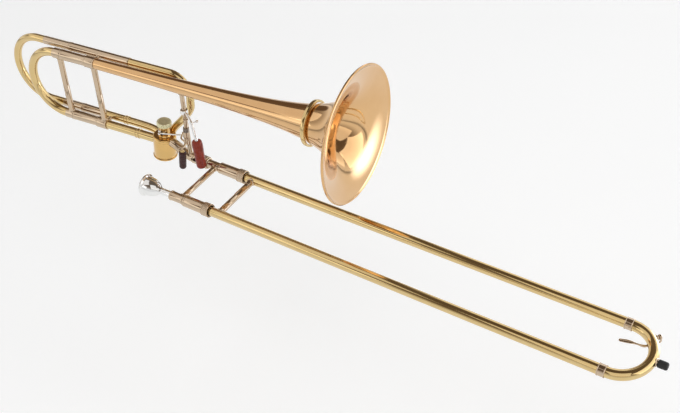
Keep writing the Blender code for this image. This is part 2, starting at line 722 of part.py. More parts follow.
def tuning_sleeves(frame):
    """The fixed sleeves that the main tuning slide runs in, each with its end ring."""
    low = TUNING_BOW_X + TUNING_COLLAR
    bore = TUNING_INNER + SLIP
    high = SLEEVE_END_X
    split = high - SLEEVE_RING_LENGTH
    for side, height, wall in (("upper", BELL_HEIGHT, UPPER_SLEEVE_WALL),
                               ("lower", LOWER_HEIGHT, LOWER_SLEEVE_WALL)):
        skin = bore + wall
        outer = [(low, skin), (split, skin), (split, skin + SLEEVE_RING_STEP),
                 (high, skin + SLEEVE_RING_STEP)]
        sleeve = turned("tuning_sleeve_" + side, "nickel", outer, [(low, bore), (high, bore)])
        place(sleeve, frame, (0.0, 0.0, height), X_AXIS)
    leg_brace("fixed_brace", frame, FIXED_BRACE_X, SLEEVE_RING_STEP, SLEEVE_RING_STEP)


def leg_brace(name, frame, u, upper_step, lower_step):
    """A straight brace between the upper and lower legs, shaped to both of them."""
    outline = brace_outline(LOWER_HEIGHT, BELL_HEIGHT, LEG_BRACE_RADIUS)
    outline = [(height, min(radius, LEG_BRACE_RADIUS + 0.0008)) for height, radius in outline]
    brace = place(turned(name, "nickel", outline), frame, (u, 0.0, 0.0), Z_AXIS)
    bore = TUNING_INNER + SLIP + SEAT
    upper = bore + UPPER_SLEEVE_WALL + upper_step
    lower = bore + LOWER_SLEEVE_WALL + lower_step
    change(brace, tube_cutter(name + "_upper", frame, (u, 0.0, BELL_HEIGHT), X_AXIS, upper, 0.012))
    change(brace, tube_cutter(name + "_lower", frame, (u, 0.0, LOWER_HEIGHT), X_AXIS, lower, 0.012))


def valve_loop(frame):
    """The valve's tuning loop behind the main one: bow, two moving legs and two fixed sleeves."""
    v = LOOP_OFFSET
    top_end = LOOP_BOW_X + LOOP_TOP_GOLD
    bottom_end = LOOP_BOW_X + LOOP_BOTTOM_GOLD
    path = loop_path(v, LOOP_BOW_X, LOOP_TOP, LOOP_BOTTOM, top_end, bottom_end, 12)
    bent_tube("loop_bow", "gold_brass", frame, path, LOOP_RADIUS, LOOP_RADIUS - LOOP_WALL)
    bore = LOOP_INNER + SLIP
    ends = (("upper", LOOP_TOP, top_end, LOOP_TOP_END_X),
            ("lower", LOOP_BOTTOM, bottom_end, LOOP_BOTTOM_END_X))
    for side, height, start, high in ends:
        stepped_leg("loop_leg_" + side, frame, v, height, start + SEAT, LOOP_SPLIT_X,
                    LOOP_BOTTOM_END_X - 0.004, LOOP_SLEEVE, LOOP_INNER, LOOP_WALL)
        outer = [(LOOP_SPLIT_X, LOOP_SLEEVE + 0.0004), (LOOP_SPLIT_X + 0.003, LOOP_SLEEVE + 0.0004),
                 (LOOP_SPLIT_X + 0.003, LOOP_SLEEVE), (high, LOOP_SLEEVE)]
        sleeve = turned("loop_sleeve_" + side, "nickel", outer,
                        [(LOOP_SPLIT_X, bore), (high, bore)])
        place(sleeve, frame, (0.0, v, height), X_AXIS)


def loop_braces(frame):
    """Two short stubs that hold the valve loop's sleeves to the main sleeves."""
    bore = TUNING_INNER + SLIP + SLEEVE_RING_STEP + SEAT
    for side, main, loop, wall, skin in (
            ("upper", BELL_HEIGHT, LOOP_TOP, UPPER_SLEEVE_WALL, LOOP_SLEEVE),
            ("lower", LOWER_HEIGHT, LOOP_BOTTOM, LOWER_SLEEVE_WALL, LOOP_RADIUS)):
        start = Vector((FIXED_BRACE_X, 0.0, main))
        along = Vector((0.0, LOOP_OFFSET, loop - main))
        name = "loop_brace_" + side
        stub = place(rod(name, "nickel", 0.0, along.length, LOOP_BRACE_RADIUS, 16), frame, start,
                     along)
        change(stub, tube_cutter(name + "_main", frame, start, X_AXIS, bore + wall, 0.008))
        change(stub, tube_cutter(name + "_loop", frame, start + along, X_AXIS, skin + SEAT, 0.008))


def drum_cutter(name, frame):
    return place(rod(name, None, -0.01, DRUM_HEIGHT + SEAT, DRUM_RADIUS + SEAT, 48), frame)


def valve_tubes(frame, valve):
    """The gold tubes that run to the valve, each shaped to the valve's drum."""
    drum = drum_cutter("drum_skin", valve)
    lower = [Vector((SLEEVE_END_X + SEAT, 0.0, LOWER_HEIGHT)),
             Vector((LOWER_STRAIGHT_X, 0.0, LOWER_HEIGHT)),
             Vector((LOWER_EASE_X, 0.0004, LOWER_HEIGHT - 0.0004)),
             Vector((LOWER_PORT_X, 0.0020, LOWER_HEIGHT - 0.0020))]
    change(bent_tube("main_lower_tube", "gold_brass", frame, lower, TUNING_RADIUS,
                     TUNING_RADIUS - TUNING_WALL), drum)
    low = LOOP_BOTTOM
    back = [Vector((LOOP_BOTTOM_END_X + SEAT, LOOP_OFFSET, low)),
            Vector((LOWER_STRAIGHT_X, LOOP_OFFSET, low)),
            Vector((LOOP_EASE_X, LOOP_OFFSET - 0.0002, low - 0.0006)),
            Vector((LOOP_TURN_X, LOOP_OFFSET - 0.0015, low - 0.0016)),
            Vector((LOOP_PORT_X, LOOP_OFFSET - 0.0060, low - 0.0035))]
    change(bent_tube("loop_lower_tube", "gold_brass", frame, back, LOOP_RADIUS,
                     LOOP_RADIUS - LOOP_WALL), drum)
    change(bent_tube("loop_upper_tube", "gold_brass", frame, upper_loop_path(), LOOP_RADIUS,
                     LOOP_RADIUS - LOOP_WALL), drum)


def upper_loop_path():
    """Forward beside the bell's taper, round the bend and back down to the valve's far side."""
    reach = LOOP_BEND_RADIUS
    middle = (LOOP_BEND_X, LOOP_TOP - reach)
    bend = [Vector((a, LOOP_OFFSET - 0.001 * step / 6, b))
            for step, (a, b) in enumerate(arc(middle, reach, 90.0, -14.0, 6))]
    port = VALVE_PLACE + LOOP_PORT
    chord = port - bend[-1]
    shares = ((0.1808, 0.0746, 0.0036), (0.4480, 0.0641, 0.0099), (0.7412, -0.0009, 0.0297),
              (0.8872, -0.0164, 0.0396))
    down = [bend[-1]]
    for along, ahead, aside in shares:
        down.append(bend[-1] + chord * along + Vector((ahead, aside, 0.0)) * chord.length)
    down.append(port)
    return ([Vector((LOOP_TOP_END_X + SEAT, LOOP_OFFSET, LOOP_TOP))] + bend
            + smooth_route(down, 2)[1:])


def valve(valve_frame):
    """The rotary valve: drum with its ports, rotor and spindle, neck, caps and stop arm."""
    bore = DRUM_RADIUS - DRUM_WALL
    ceiling = DRUM_HEIGHT - DRUM_TOP_WALL
    hole = SPINDLE_RADIUS + 0.0002
    shoulder = 0.0020
    outer = [(0.0, DRUM_RADIUS), (DRUM_HEIGHT - shoulder, DRUM_RADIUS),
             (DRUM_HEIGHT, DRUM_RADIUS - shoulder)]
    inner = [(0.0, bore), (ceiling, bore), (ceiling, hole), (DRUM_HEIGHT, hole)]
    drum = place(turned("valve_casing", "gold_brass", outer, inner, 24), valve_frame)
    for number, angle in enumerate((172.0, 132.0, 80.0, -14.0)):
        port = rod("port_%d" % number, None, DRUM_RADIUS * 0.6, DRUM_RADIUS + PASS, PORT_RADIUS, 12)
        way = Vector((math.cos(math.radians(angle)), math.sin(math.radians(angle)), 0.0))
        change(drum, place(port, valve_frame, (0.0, 0.0, PORT_HEIGHT), way))
    bottom_cap(valve_frame, bore)
    rotor(valve_frame, bore, ceiling)
    neck_and_cap(valve_frame)
    stop_arm(valve_frame)


def bottom_cap(valve_frame, bore):
    """The screwed cap under the drum, with a rim and a flat face."""
    rim = DRUM_RADIUS + 0.0010
    plug = bore - SEAT
    low = -0.0030
    outline = [(low, 0.0), (low, rim - 0.0008), (low + 0.0008, rim), (-SEAT, rim), (-SEAT, plug),
               (ROTOR_FLOOR - SEAT, plug), (ROTOR_FLOOR - SEAT, 0.0)]
    place(turned("valve_bottom_cap", "gold_brass", outline, sides=24), valve_frame)


def rotor(valve_frame, bore, ceiling):
    """The rotor: a plug with two air passages, and the spindle that carries the stop arm."""
    plug = bore - ROTOR_CLEARANCE
    top = ceiling - SEAT
    spindle_top = ARM_HEIGHT + ARM_THICKNESS * 0.5 + 0.004
    outline = [(ROTOR_FLOOR, 0.0), (ROTOR_FLOOR, plug), (top, plug), (top, SPINDLE_RADIUS),
               (spindle_top, SPINDLE_RADIUS), (spindle_top, 0.0)]
    body = place(turned("valve_rotor", "nickel", outline, sides=24), valve_frame)
    for number, (first, bend, last) in enumerate((((-0.02, 0.003), (0.0, -0.004), (0.02, -0.005)),
                                                  ((-0.013, 0.017), (0.001, 0.0105),
                                                   (0.015, 0.0135)))):
        route = [Vector((a, b, PORT_HEIGHT - 0.006)) for a, b in (first, bend, last)]
        way = pipe("rotor_way_%d" % number, None, smooth_route(route, 2), PORT_RADIUS * 0.72, 8)
        change(body, place(way, valve_frame))


def neck_and_cap(valve_frame):
    """The neck over the drum, with the window for the stop arm, and the knurled cap on it."""
    low = DRUM_HEIGHT + SEAT
    high = low + NECK_HEIGHT
    bore = NECK_RADIUS - NECK_WALL
    neck = place(tube("valve_neck", "gold_brass", low, high, NECK_RADIUS, bore, 24), valve_frame)
    floor = ARM_HEIGHT - ARM_THICKNESS * 0.5 - 0.0022
    roof = ARM_HEIGHT + ARM_THICKNESS * 0.5 + 0.0022
    spread = 0.28
    sweep = [BALL_ANGLE - spread + (ROTOR_TURN + 2.0 * spread) * step / 6 for step in range(7)]
    mesh = bpy.data.meshes.new("neck_window")
    shape = bmesh.new()
    reach = NECK_RADIUS * 1.6
    flat = [(0.0, 0.0)] + [(reach * math.cos(t), reach * math.sin(t)) for t in sweep]
    foot = shape.faces.new([shape.verts.new((a, b, floor)) for a, b in flat])
    grown = bmesh.ops.extrude_face_region(shape, geom=[foot])
    for item in grown["geom"]:
        if isinstance(item, bmesh.types.BMVert):
            item.co.z = roof
    bmesh.ops.recalc_face_normals(shape, faces=shape.faces)
    shape.to_mesh(mesh)
    shape.free()
    change(neck, place(add("neck_window", mesh), valve_frame))
    base = high + SEAT
    top = base + CAP_HEIGHT
    plug = bore - SEAT
    edge = 0.0010
    outline = [(base - 0.0040, 0.0), (base - 0.0040, plug), (base, plug), (base, CAP_RADIUS - edge),
               (base + edge, CAP_RADIUS), (top - edge, CAP_RADIUS), (top, CAP_RADIUS - 2.0 * edge),
               (top, 0.0)]
    place(turned("valve_cap", "gold_brass", outline, sides=24), valve_frame)


def ball_place():
    return Vector((BALL_REACH * math.cos(BALL_ANGLE), BALL_REACH * math.sin(BALL_ANGLE),
                   ARM_HEIGHT))


def crank_place():
    return Vector((LEVER_P + CRANK_REACH * math.cos(CRANK_ANGLE),
                   LEVER_Q + CRANK_REACH * math.sin(CRANK_ANGLE), ARM_HEIGHT))


def stop_arm(valve_frame):
    """The arm on the rotor's spindle, with the pin and ball that hold the link's eye."""
    half = ARM_THICKNESS * 0.5
    hub = SPINDLE_RADIUS + 0.0026
    bore = SPINDLE_RADIUS + SEAT
    arm = place(tube("stop_arm", "nickel", ARM_HEIGHT - half, ARM_HEIGHT + half, hub, bore, 16),
                valve_frame)
    way = ball_place() - Vector((0.0, 0.0, ARM_HEIGHT))
    bar = rod("arm_bar", None, hub - 0.0010, BALL_REACH + ARM_BAR, ARM_BAR, 8)
    change(arm, place(bar, valve_frame, (0.0, 0.0, ARM_HEIGHT), way), "UNION")
    top = link_height() + EYE_HALF + BALL_RADIUS
    pin = rod("arm_pin", None, ARM_HEIGHT, top, ARM_PIN, 8)
    change(arm, place(pin, valve_frame, ball_place() * Vector((1.0, 1.0, 0.0))), "UNION")
    knob = ball("arm_ball", None, BALL_RADIUS)
    change(arm, place(knob, valve_frame, ball_place() + Vector((0.0, 0.0, top - ARM_HEIGHT))), "UNION")


def link_height():
    """The link's eyes lie just over the bar of the stop arm."""
    return ARM_HEIGHT + ARM_BAR + SEAT + EYE_HALF


def valve_link(valve_frame):
    """The rod between the trigger's crank and the stop arm's ball, with a bored eye at each end."""
    lift = Vector((0.0, 0.0, link_height() - ARM_HEIGHT))
    start = crank_place() + lift
    stop = ball_place() + BALL_EYE_OFFSET + lift
    inset = (stop - start).normalized() * (EYE_RADIUS - 0.0003)
    link = pipe("valve_link", "silver", [start + inset, stop - inset], LINK_RADIUS, 8)
    place(link, valve_frame)
    for number, (spot, bore) in enumerate(((start, CRANK_EYE_BORE), (stop, BALL_EYE_BORE))):
        eye = tube("link_eye_%d" % number, None, -EYE_HALF, EYE_HALF, EYE_RADIUS, bore, 14)
        change(link, place(eye, valve_frame, spot), "UNION")


def trigger(valve_frame):
    """The trigger: shaft in its bearing, crank and pin for the link, arm to the thumb piece."""
    top = BEARING_HIGH + 0.0022
    low = LEVER_LOW
    hub = 0.0040
    outline = [(low, 0.0), (low, hub), (BEARING_LOW - SEAT, hub), (BEARING_LOW - SEAT, LEVER_SHAFT),
               (top - 0.0018, LEVER_SHAFT), (top - 0.0018, LEVER_SHAFT + 0.0012),
               (top, LEVER_SHAFT + 0.0008), (top, 0.0)]
    lever = turned("trigger_lever", "nickel", outline, sides=12)
    place(lever, valve_frame, (LEVER_P, LEVER_Q, 0.0))
    axle = Vector((LEVER_P, LEVER_Q, low + 0.0030))
    pin_top = link_height() + EYE_HALF + 0.0032
    end = crank_place() + Vector((0.0, 0.0, pin_top - ARM_HEIGHT))
    elbow = Vector((LEVER_P - CRANK_REACH * 0.47, LEVER_Q + CRANK_REACH * 0.17, axle.z))
    reach = (end - elbow).normalized() * 0.0010
    crank = pipe("trigger_crank", None, smooth_route([axle, elbow, end + reach], 3), 0.0015, 8)
    change(lever, place(crank, valve_frame), "UNION")
    pin = rod("crank_pin", None, link_height() - EYE_HALF - 0.0008, pin_top, CRANK_PIN, 8)
    change(lever, place(pin, valve_frame, crank_place() * Vector((1.0, 1.0, 0.0))), "UNION")
    foot = THUMB_PLACE + Vector((0.0, 0.0, THUMB_LENGTH))
    bend = [axle, axle + Vector((0.0012, -0.0070, -0.0010)), foot + Vector((0.0, 0.0012, 0.0060)),
            foot + Vector((0.0, 0.0, -0.0010)), foot + Vector((0.0, 0.0, -0.0080))]
    arm = pipe("trigger_arm", None, smooth_route(bend, 3), 0.0017, 8)
    change(lever, place(arm, valve_frame), "UNION")
    soft = THUMB_RADIUS * 0.9
    bore = 0.0017 + SEAT
    depth = THUMB_LENGTH - 0.0086
    outer = [(0.0, 0.0), (0.0, THUMB_RADIUS - soft)]
    outer += arc((soft, THUMB_RADIUS - soft), soft, 180.0, 90.0, 5)[1:]
    outer += [(THUMB_LENGTH - 0.0020, THUMB_RADIUS), (THUMB_LENGTH, THUMB_RADIUS - 0.0016)]
    outer += [(THUMB_LENGTH, bore), (depth, bore), (depth, 0.0)]
    place(turned("thumb_piece", "dark_wood", outer, sides=16), valve_frame, THUMB_PLACE)


def lever_bearing(frame, valve_frame):
    """The bearing tube of the trigger, with two short arms to the bell brace."""
    bearing = turned("lever_bearing", "nickel",
                     [(BEARING_LOW, LEVER_BEARING + 0.0005), (BEARING_LOW + 0.003, LEVER_BEARING),
                      (BEARING_HIGH - 0.003, LEVER_BEARING), (BEARING_HIGH, LEVER_BEARING + 0.0005)],
                     [(BEARING_LOW, LEVER_SHAFT + 0.0002), (BEARING_HIGH, LEVER_SHAFT + 0.0002)], 12)
    place(bearing, valve_frame, (LEVER_P, LEVER_Q, 0.0))
    to_bell = valve_frame.matrix_local
    for number, height in enumerate((BEARING_LOW + 0.006, BEARING_HIGH - 0.006)):
        start = to_bell @ Vector((LEVER_P, LEVER_Q, height))
        stop = Vector((BRACE_U, BRACE_V, start.z))
        way = (stop - start).normalized()
        path = [start + way * (LEVER_SHAFT + 0.0007), stop]
        arm = pipe("bearing_arm_%d" % number, None, path, 0.0018, 8)
        change(bearing, place(arm, frame), "UNION")
    skin = rod("brace_skin", None, 0.0, BELL_HEIGHT, BRACE_RADIUS + SEAT, 24)
    change(bearing, place(skin, frame, (BRACE_U, BRACE_V, 0.0)))


def neckpipe_path():
    """From the slide receiver back and up to the valve's drum, in the bell section's frame."""
    to_bell = bell_matrix().inverted()
    rear = TENON_REAR - 0.0056
    start = to_bell @ Vector((rear - SEAT, 0.0, 0.0))
    ahead = to_bell @ Vector((rear - SEAT - 0.006, 0.0, 0.0))
    route = [ahead, Vector((0.0045, -0.0003, 0.0040)), Vector((-0.0070, 0.0008, 0.0098)),
             Vector((-0.0180, 0.0022, 0.0136)), Vector((-0.0330, 0.0045, 0.0150))]
    return [start] + smooth_route(route, 2)


def neck_parts(frame, valve_frame):
    """The neckpipe, the slide receiver on its end, the lock nut and the bell brace."""
    path = neckpipe_path()
    neck = bent_tube("neckpipe", "nickel", frame, path, NECK_PIPE_RADIUS,
                     NECK_PIPE_RADIUS - NECK_PIPE_WALL, 14)
    change(neck, bpy.data.objects["drum_skin"])
    rear = TENON_REAR - 0.0056
    front = rear + BELL_RECEIVER_LENGTH
    bore = TENON_RADIUS + SEAT
    skin = bore + BELL_RECEIVER_WALL
    outer = [(rear, skin), (front, skin)]
    inner = [(rear, bore - 0.0009), (TENON_REAR - SEAT, bore - 0.0009), (TENON_REAR - SEAT, bore),
             (front, bore)]
    place(turned("slide_receiver", "nickel", outer, inner), None, (0.0, 0.0, 0.0), X_AXIS)
    low = front - NUT_OVERLAP
    wide = skin + SEAT
    rim = wide + NUT_WALL
    edge = 0.0008
    outer = [(low, rim - edge), (low + edge, rim), (low + NUT_LENGTH - edge, rim),
             (low + NUT_LENGTH, rim - edge)]
    inner = [(low, wide), (front + SEAT, wide), (front + SEAT, bore), (low + NUT_LENGTH, bore)]
    place(turned("slide_lock_nut", "nickel", outer, inner), None, (0.0, 0.0, 0.0), X_AXIS)
    foot = BRACE_RADIUS * 1.5
    outline = [(0.0, 0.0), (0.0, foot), (NECK_PIPE_RADIUS + 0.0035, foot),
               (NECK_PIPE_RADIUS + 0.0075, BRACE_RADIUS), (BELL_HEIGHT - 0.0210, BRACE_RADIUS),
               (BELL_HEIGHT - 0.0165, foot), (BELL_HEIGHT, foot), (BELL_HEIGHT, 0.0)]
    brace = place(turned("bell_brace", "nickel", outline), frame, (BRACE_U, BRACE_V, 0.0))
    stem = turned("stem_skin", None,
                  [(BRACE_U - 0.02, 0.0), (BRACE_U - 0.02, bell_radius(BRACE_U - 0.02) + 1.5 * SEAT),
                   (BRACE_U + 0.02, bell_radius(BRACE_U + 0.02) + 1.5 * SEAT),
                   (BRACE_U + 0.02, 0.0)], sides=40)
    change(brace, place(stem, frame, (0.0, 0.0, BELL_HEIGHT), X_AXIS))
    skin = pipe("neckpipe_skin", None, longer(path), NECK_PIPE_RADIUS + SEAT, 14)
    change(brace, place(skin, frame))


def hand_rest(frame):
    """The hand rest: a rod clamped on the bell brace, with its wooden grip and its screw."""
    bore = BRACE_RADIUS + SEAT
    half = CLAMP_LENGTH / 2.0
    clamp = tube("hand_rest_rod", "silver", CLAMP_HEIGHT - half, CLAMP_HEIGHT + half,
                 bore + CLAMP_WALL, bore, 14)
    place(clamp, frame, (BRACE_U, BRACE_V, 0.0))
    start = Vector((BRACE_U + 0.0046, BRACE_V - 0.0030, CLAMP_HEIGHT))
    shoulder = Vector((0.0400, -0.0165, 0.0830))
    route = [start, Vector((0.0265, -0.0085, CLAMP_HEIGHT + 0.0012)), shoulder,
             Vector((0.0475, -0.0222, 0.0690)), REST_TOP, REST_TOP.lerp(REST_FOOT, 0.17)]
    bar = pipe("rest_bar", None, smooth_route(route, 3), REST_ROD, 8)
    change(clamp, place(bar, frame), "UNION")
    boss = ball("rest_boss", None, REST_BOSS)
    change(clamp, place(boss, frame, shoulder), "UNION")
    length = (REST_FOOT - REST_TOP).length
    soft = 0.0050
    depth = length * 0.17 + 0.0012
    outline = [(depth, 0.0), (depth, REST_ROD + SEAT), (0.0, REST_ROD + SEAT),
               (0.0, REST_GRIP - 0.0026)]
    outline += arc((0.0030, REST_GRIP - 0.0030), 0.0030, 150.0, 90.0, 2)
    outline += [(length * 0.55, REST_GRIP + 0.0004)]
    outline += arc((length - soft, REST_GRIP - soft), soft, 90.0, 0.0, 4)
    outline += [(length, 0.0)]
    grip = turned("hand_rest_grip", "red_wood", outline, sides=16)
    place(grip, frame, REST_TOP, REST_FOOT - REST_TOP)
    seat = REST_BOSS + SEAT
    screw = turned("hand_rest_screw", "silver",
                   [(seat, 0.0), (seat, 0.0010), (seat + 0.0035, 0.0010), (seat + 0.0035, 0.0019),
                    (seat + 0.0085, 0.0019), (seat + 0.0085, 0.0)], sides=12)
    place(screw, frame, shoulder, SCREW_WAY)


def bell_matrix():
    turn = Euler((BELL_ROLL, 0.0, 0.0)).to_matrix() @ Euler((0.0, 0.0, BELL_YAW)).to_matrix()
    return Matrix.Translation(BELL_ORIGIN) @ turn.to_4x4()


def main():
    clear_scene()
    FINISHES.update(make_finishes())
    inner_slide()
    mouthpiece()
    outer_slide()
    frame = frame_empty("bell_section_frame", bell_matrix())
    lean = Matrix.Translation(VALVE_PLACE) @ Matrix.Rotation(VALVE_LEAN, 4, "Y")
    valve_frame = frame_empty("valve_frame", lean, frame)
    bell(frame)
    tuning_slide(frame)
    tuning_sleeves(frame)
    valve_loop(frame)
    loop_braces(frame)
    valve_tubes(frame, valve_frame)
    valve(valve_frame)
    valve_link(valve_frame)
    trigger(valve_frame)
    lever_bearing(frame, valve_frame)
    neck_parts(frame, valve_frame)
    hand_rest(frame)
    bpy.context.view_layer.update()


FINISHES = {}
main()
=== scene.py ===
"""A studio scene of a tenor trombone with a valve attachment.

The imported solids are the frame. Each visible piece is made again here in the same place, with
finer turning, bending and knurling, and gets its finish. Most keep the solid's size. The slide
braces, the mouthpiece, the hand rest, the link and the water key's lever come closer to the photo.
"""
import math
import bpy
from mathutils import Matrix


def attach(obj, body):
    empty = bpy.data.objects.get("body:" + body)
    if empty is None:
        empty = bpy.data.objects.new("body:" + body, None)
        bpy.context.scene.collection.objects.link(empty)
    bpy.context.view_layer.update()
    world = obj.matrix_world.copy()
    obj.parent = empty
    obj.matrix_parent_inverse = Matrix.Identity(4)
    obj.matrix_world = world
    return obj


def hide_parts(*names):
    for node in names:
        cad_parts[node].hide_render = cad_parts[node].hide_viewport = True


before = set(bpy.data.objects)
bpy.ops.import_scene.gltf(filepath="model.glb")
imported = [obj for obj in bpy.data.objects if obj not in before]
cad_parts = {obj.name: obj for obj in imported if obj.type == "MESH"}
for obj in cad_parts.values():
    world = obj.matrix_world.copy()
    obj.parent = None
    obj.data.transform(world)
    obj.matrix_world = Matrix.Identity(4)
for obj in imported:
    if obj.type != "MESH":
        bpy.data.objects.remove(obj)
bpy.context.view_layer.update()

from types import SimpleNamespace

import bmesh
import bpy
from mathutils import Euler, Matrix, Vector

bl_info = {
    "name": "Tenor Trombone",
    "version": (1, 0, 0),
    "blender": (4, 5, 0),
    "location": "View3D > Sidebar > Trombone",
    "description": "Builds a tenor trombone with a valve attachment, its finishes and its studio",
    "category": "Object",
}

X_AXIS = Vector((1.0, 0.0, 0.0))
Y_AXIS = Vector((0.0, 1.0, 0.0))
Z_AXIS = Vector((0.0, 0.0, 1.0))
AROUND = 64  # sides of a turned piece
SEAT = 0.0003  # between two pieces that touch
SLIP = 0.00025  # between a tube and the tube that slides in it
TINY = 1e-7
SHARP = math.radians(38.0)  # a fold sharper than this shows as an edge
NEARLY_STRAIGHT = 2.75  # an outline's corner over this angle stays as it is
BENCH_SPOT = "bench_spot"

# Lengths that several pieces share, in metres, and heights in the valve's own frame
OUTER_BRACE_X = 0.0752
FERRULE_LENGTH = 0.0110
BAND_TEETH = 34
RECEIVER_RADIUS = 0.0077
RECEIVER_WALL = 0.0016
TENON_RADIUS = 0.0072
BELL_ORIGIN_X = -0.0704
FLARE_POLE, FLARE_POWER = 0.0149, 0.70
MAIN_TUBE, MAIN_BORE = 0.0075, 0.0069
LOOP_TUBE, LOOP_BORE = 0.0068, 0.0063
SLEEVE_BORE = 0.00755
SLEEVE_WALLS = {"upper": 0.0013, "lower": 0.0009}
TUNING_BOW_X = -0.245
LEG_END_X = -0.165
SLEEVE_END_X = -0.155
FIXED_BRACE_X = -0.1618
LOOP_BOW_X = -0.296
LOOP_SPLIT_X = -0.224
LOOP_LEG_END_X = -0.182
LOOP_END_X = {"upper": -0.100, "lower": -0.178}
LOOP_OVER, LOOP_UNDER = 0.0049, 0.0031
BELL_BRACE_SPOT = Vector((0.015, -0.0005, 0.0))
VALVE_PLACE = Vector((-0.0443, 0.006, -0.015))
DRUM_WALL = 0.0022
NECK_HEIGHT = 0.0195
ARM_HEIGHT = 0.0478
LINK_LIFT = 0.0013 + SEAT + 0.0014  # the link's middle over the stop arm's
TRIGGER_AXLE = (0.0560, -0.017)
CRANK_REACH = 0.028
THUMB_SPOT = Vector((0.0576, -0.0310, 0.0133))
THUMB_LENGTH = 0.0355
BALL_SPOT = Vector((0.0, -0.0135, ARM_HEIGHT))
CRANK_SPOT = Vector((TRIGGER_AXLE[0] + CRANK_REACH * math.cos(math.radians(135.0)),
                     TRIGGER_AXLE[1] + CRANK_REACH * math.sin(math.radians(135.0)), ARM_HEIGHT))


# Sizes and colours


def length(name, description, default):
    return bpy.props.FloatProperty(name=name, description=description, default=default,
                                   unit="LENGTH", precision=5)


def angle(name, description, default):
    return bpy.props.FloatProperty(name=name, description=description, subtype="ANGLE",
                                   default=math.radians(default))


def colour(name, description, default):
    return bpy.props.FloatVectorProperty(name=name, description=description, subtype="COLOR",
                                         size=3, min=0.0, max=1.0, default=default)


class SlideSizes(bpy.types.PropertyGroup):
    spacing: length("Tube spacing", "Between the axes of the two slide tubes", 0.092)
    outer_bore: length("Outer bore", "Inside radius of an outer slide tube", 0.00735)
    outer_wall: length("Outer wall", "Wall of an outer slide tube", 0.00045)
    outer_start: length("Outer tube start", "Where the outer tubes begin", 0.0515)
    bow_start: length("Bow start", "Where the end bow leaves its ferrules", 0.715)
    bow_depth: length("Bow depth", "How far the end bow reaches past its ferrules", 0.043)
    barrel_start: length("Barrel start", "Where the cork barrels begin", 0.008)
    barrel_length: length("Barrel length", "Length of a cork barrel", 0.052)
    receiver_length: length("Receiver length", "Length of the mouthpiece receiver", 0.028)
    rim_radius: length("Mouthpiece rim", "Outside radius of the mouthpiece rim", 0.0188)
    mouthpiece_length: length("Mouthpiece length", "From the rim to the end of the shank", 0.079)
    bumper_radius: length("Bumper radius", "Radius of the rubber bumper", 0.0056)


class BellSizes(bpy.types.PropertyGroup):
    roll: angle("Lean", "How far the bell section leans over the slide", -4.0)
    yaw: angle("Turn", "How far the bell section is turned to the slide", 5.0)
    height: length("Bell height", "Bell axis over the slide", 0.1348)
    rim_place: length("Rim place", "Where the rim lies along the bell", 0.332)
    radius: length("Bell radius", "Radius over the rolled rim", 0.108)
    bead: length("Rim bead", "Radius of the rolled rim", 0.0020)
    lower_height: length("Lower leg height", "Height of the lower tuning leg", 0.0148)
    loop_offset: length("Loop offset", "How far the valve loop lies behind", 0.021)


class ValveSizes(bpy.types.PropertyGroup):
    lean: angle("Valve lean", "How far the valve leans along the bell section", 7.0)
    drum_radius: length("Drum radius", "Radius of the valve's drum", 0.0195)
    drum_height: length("Drum height", "Height of the valve's drum", 0.039)
    neck_radius: length("Neck radius", "Radius of the neck over the drum", 0.0098)
    cap_radius: length("Cap radius", "Radius of the knurled cap", 0.0125)
    grip_radius: length("Grip radius", "Radius of the hand rest's wooden grip", 0.0085)
    thumb_radius: length("Thumb piece radius", "Radius of the trigger's thumb piece", 0.0060)


class Finishes(bpy.types.PropertyGroup):
    gold: colour("Yellow brass", "Lacquered yellow brass", (0.71, 0.53, 0.245))
    gold_deep: colour("Aged brass", "Brass under worn or thick lacquer", (0.61, 0.42, 0.165))
    valve_gold: colour("Valve brass", "Warmer brass of the valve's casing", (0.72, 0.460, 0.165))
    rim_brown: colour("Rim", "Brass that the hand has browned along the bell's rim",
                      (0.44, 0.27, 0.16))
    # Brass of the valve's cap, painted pale: a painted sheen that stands in for the light its
    # knurl reflects
    cap_gold_painted_sheen: colour("Cap brass", "Pale brass of the valve's fluted cap", (0.90, 0.86, 0.60))
    rose: colour("Rose brass", "Lacquered rose brass of the bell", (0.73, 0.455, 0.215))
    rose_deep: colour("Deep rose", "Rose brass where the lacquer is thick", (0.65, 0.365, 0.150))
    nickel: colour("Nickel silver", "Warm grey nickel silver", (0.61, 0.475, 0.335))
    silver: colour("Silver plate", "Bright silver plate", (0.86, 0.86, 0.85))
    steel: colour("Steel", "Dull steel of springs and screws", (0.34, 0.30, 0.27))
    red_wood: colour("Red wood", "Varnished wood of the grip", (0.22, 0.028, 0.015))
    dark_wood: colour("Dark wood", "Dark varnished wood of the thumb piece", (0.042, 0.013, 0.012))
    rubber: colour("Rubber", "Black rubber of the bumper", (0.013, 0.014, 0.013))


class StudioSettings(bpy.types.PropertyGroup):
    floor: colour("Floor colour", "Colour of the floor", (0.93, 0.93, 0.93))
    floor_height: length("Floor height", "Height of the floor under the instrument", -0.42)
    box_level: bpy.props.FloatProperty(name="Soft box level", description="How bright a soft box "
                                       "looks, where 1 is white", default=1.15, min=0.0)
    floor_lift: bpy.props.FloatProperty(name="Floor lift", description="Added to the floor where "
                                        "it is seen straight or in metal", default=0.165, min=0.0)


# Finishes


class Wire:
    """A socket of a material's nodes. Its operators add Math nodes."""

    def __init__(self, recipe, socket):
        self.recipe = recipe
        self.socket = socket

    def maths(self, operation, first, second):
        return self.recipe.node("ShaderNodeMath", {"operation": operation}, {0: first, 1: second})

    def __add__(self, other):
        return self.maths("ADD", self, other)

    def __radd__(self, other):
        return self.maths("ADD", other, self)

    def __sub__(self, other):
        return self.maths("SUBTRACT", self, other)

    def __rsub__(self, other):
        return self.maths("SUBTRACT", other, self)

    def __mul__(self, other):
        return self.maths("MULTIPLY", self, other)

    def __rmul__(self, other):
        return self.maths("MULTIPLY", other, self)


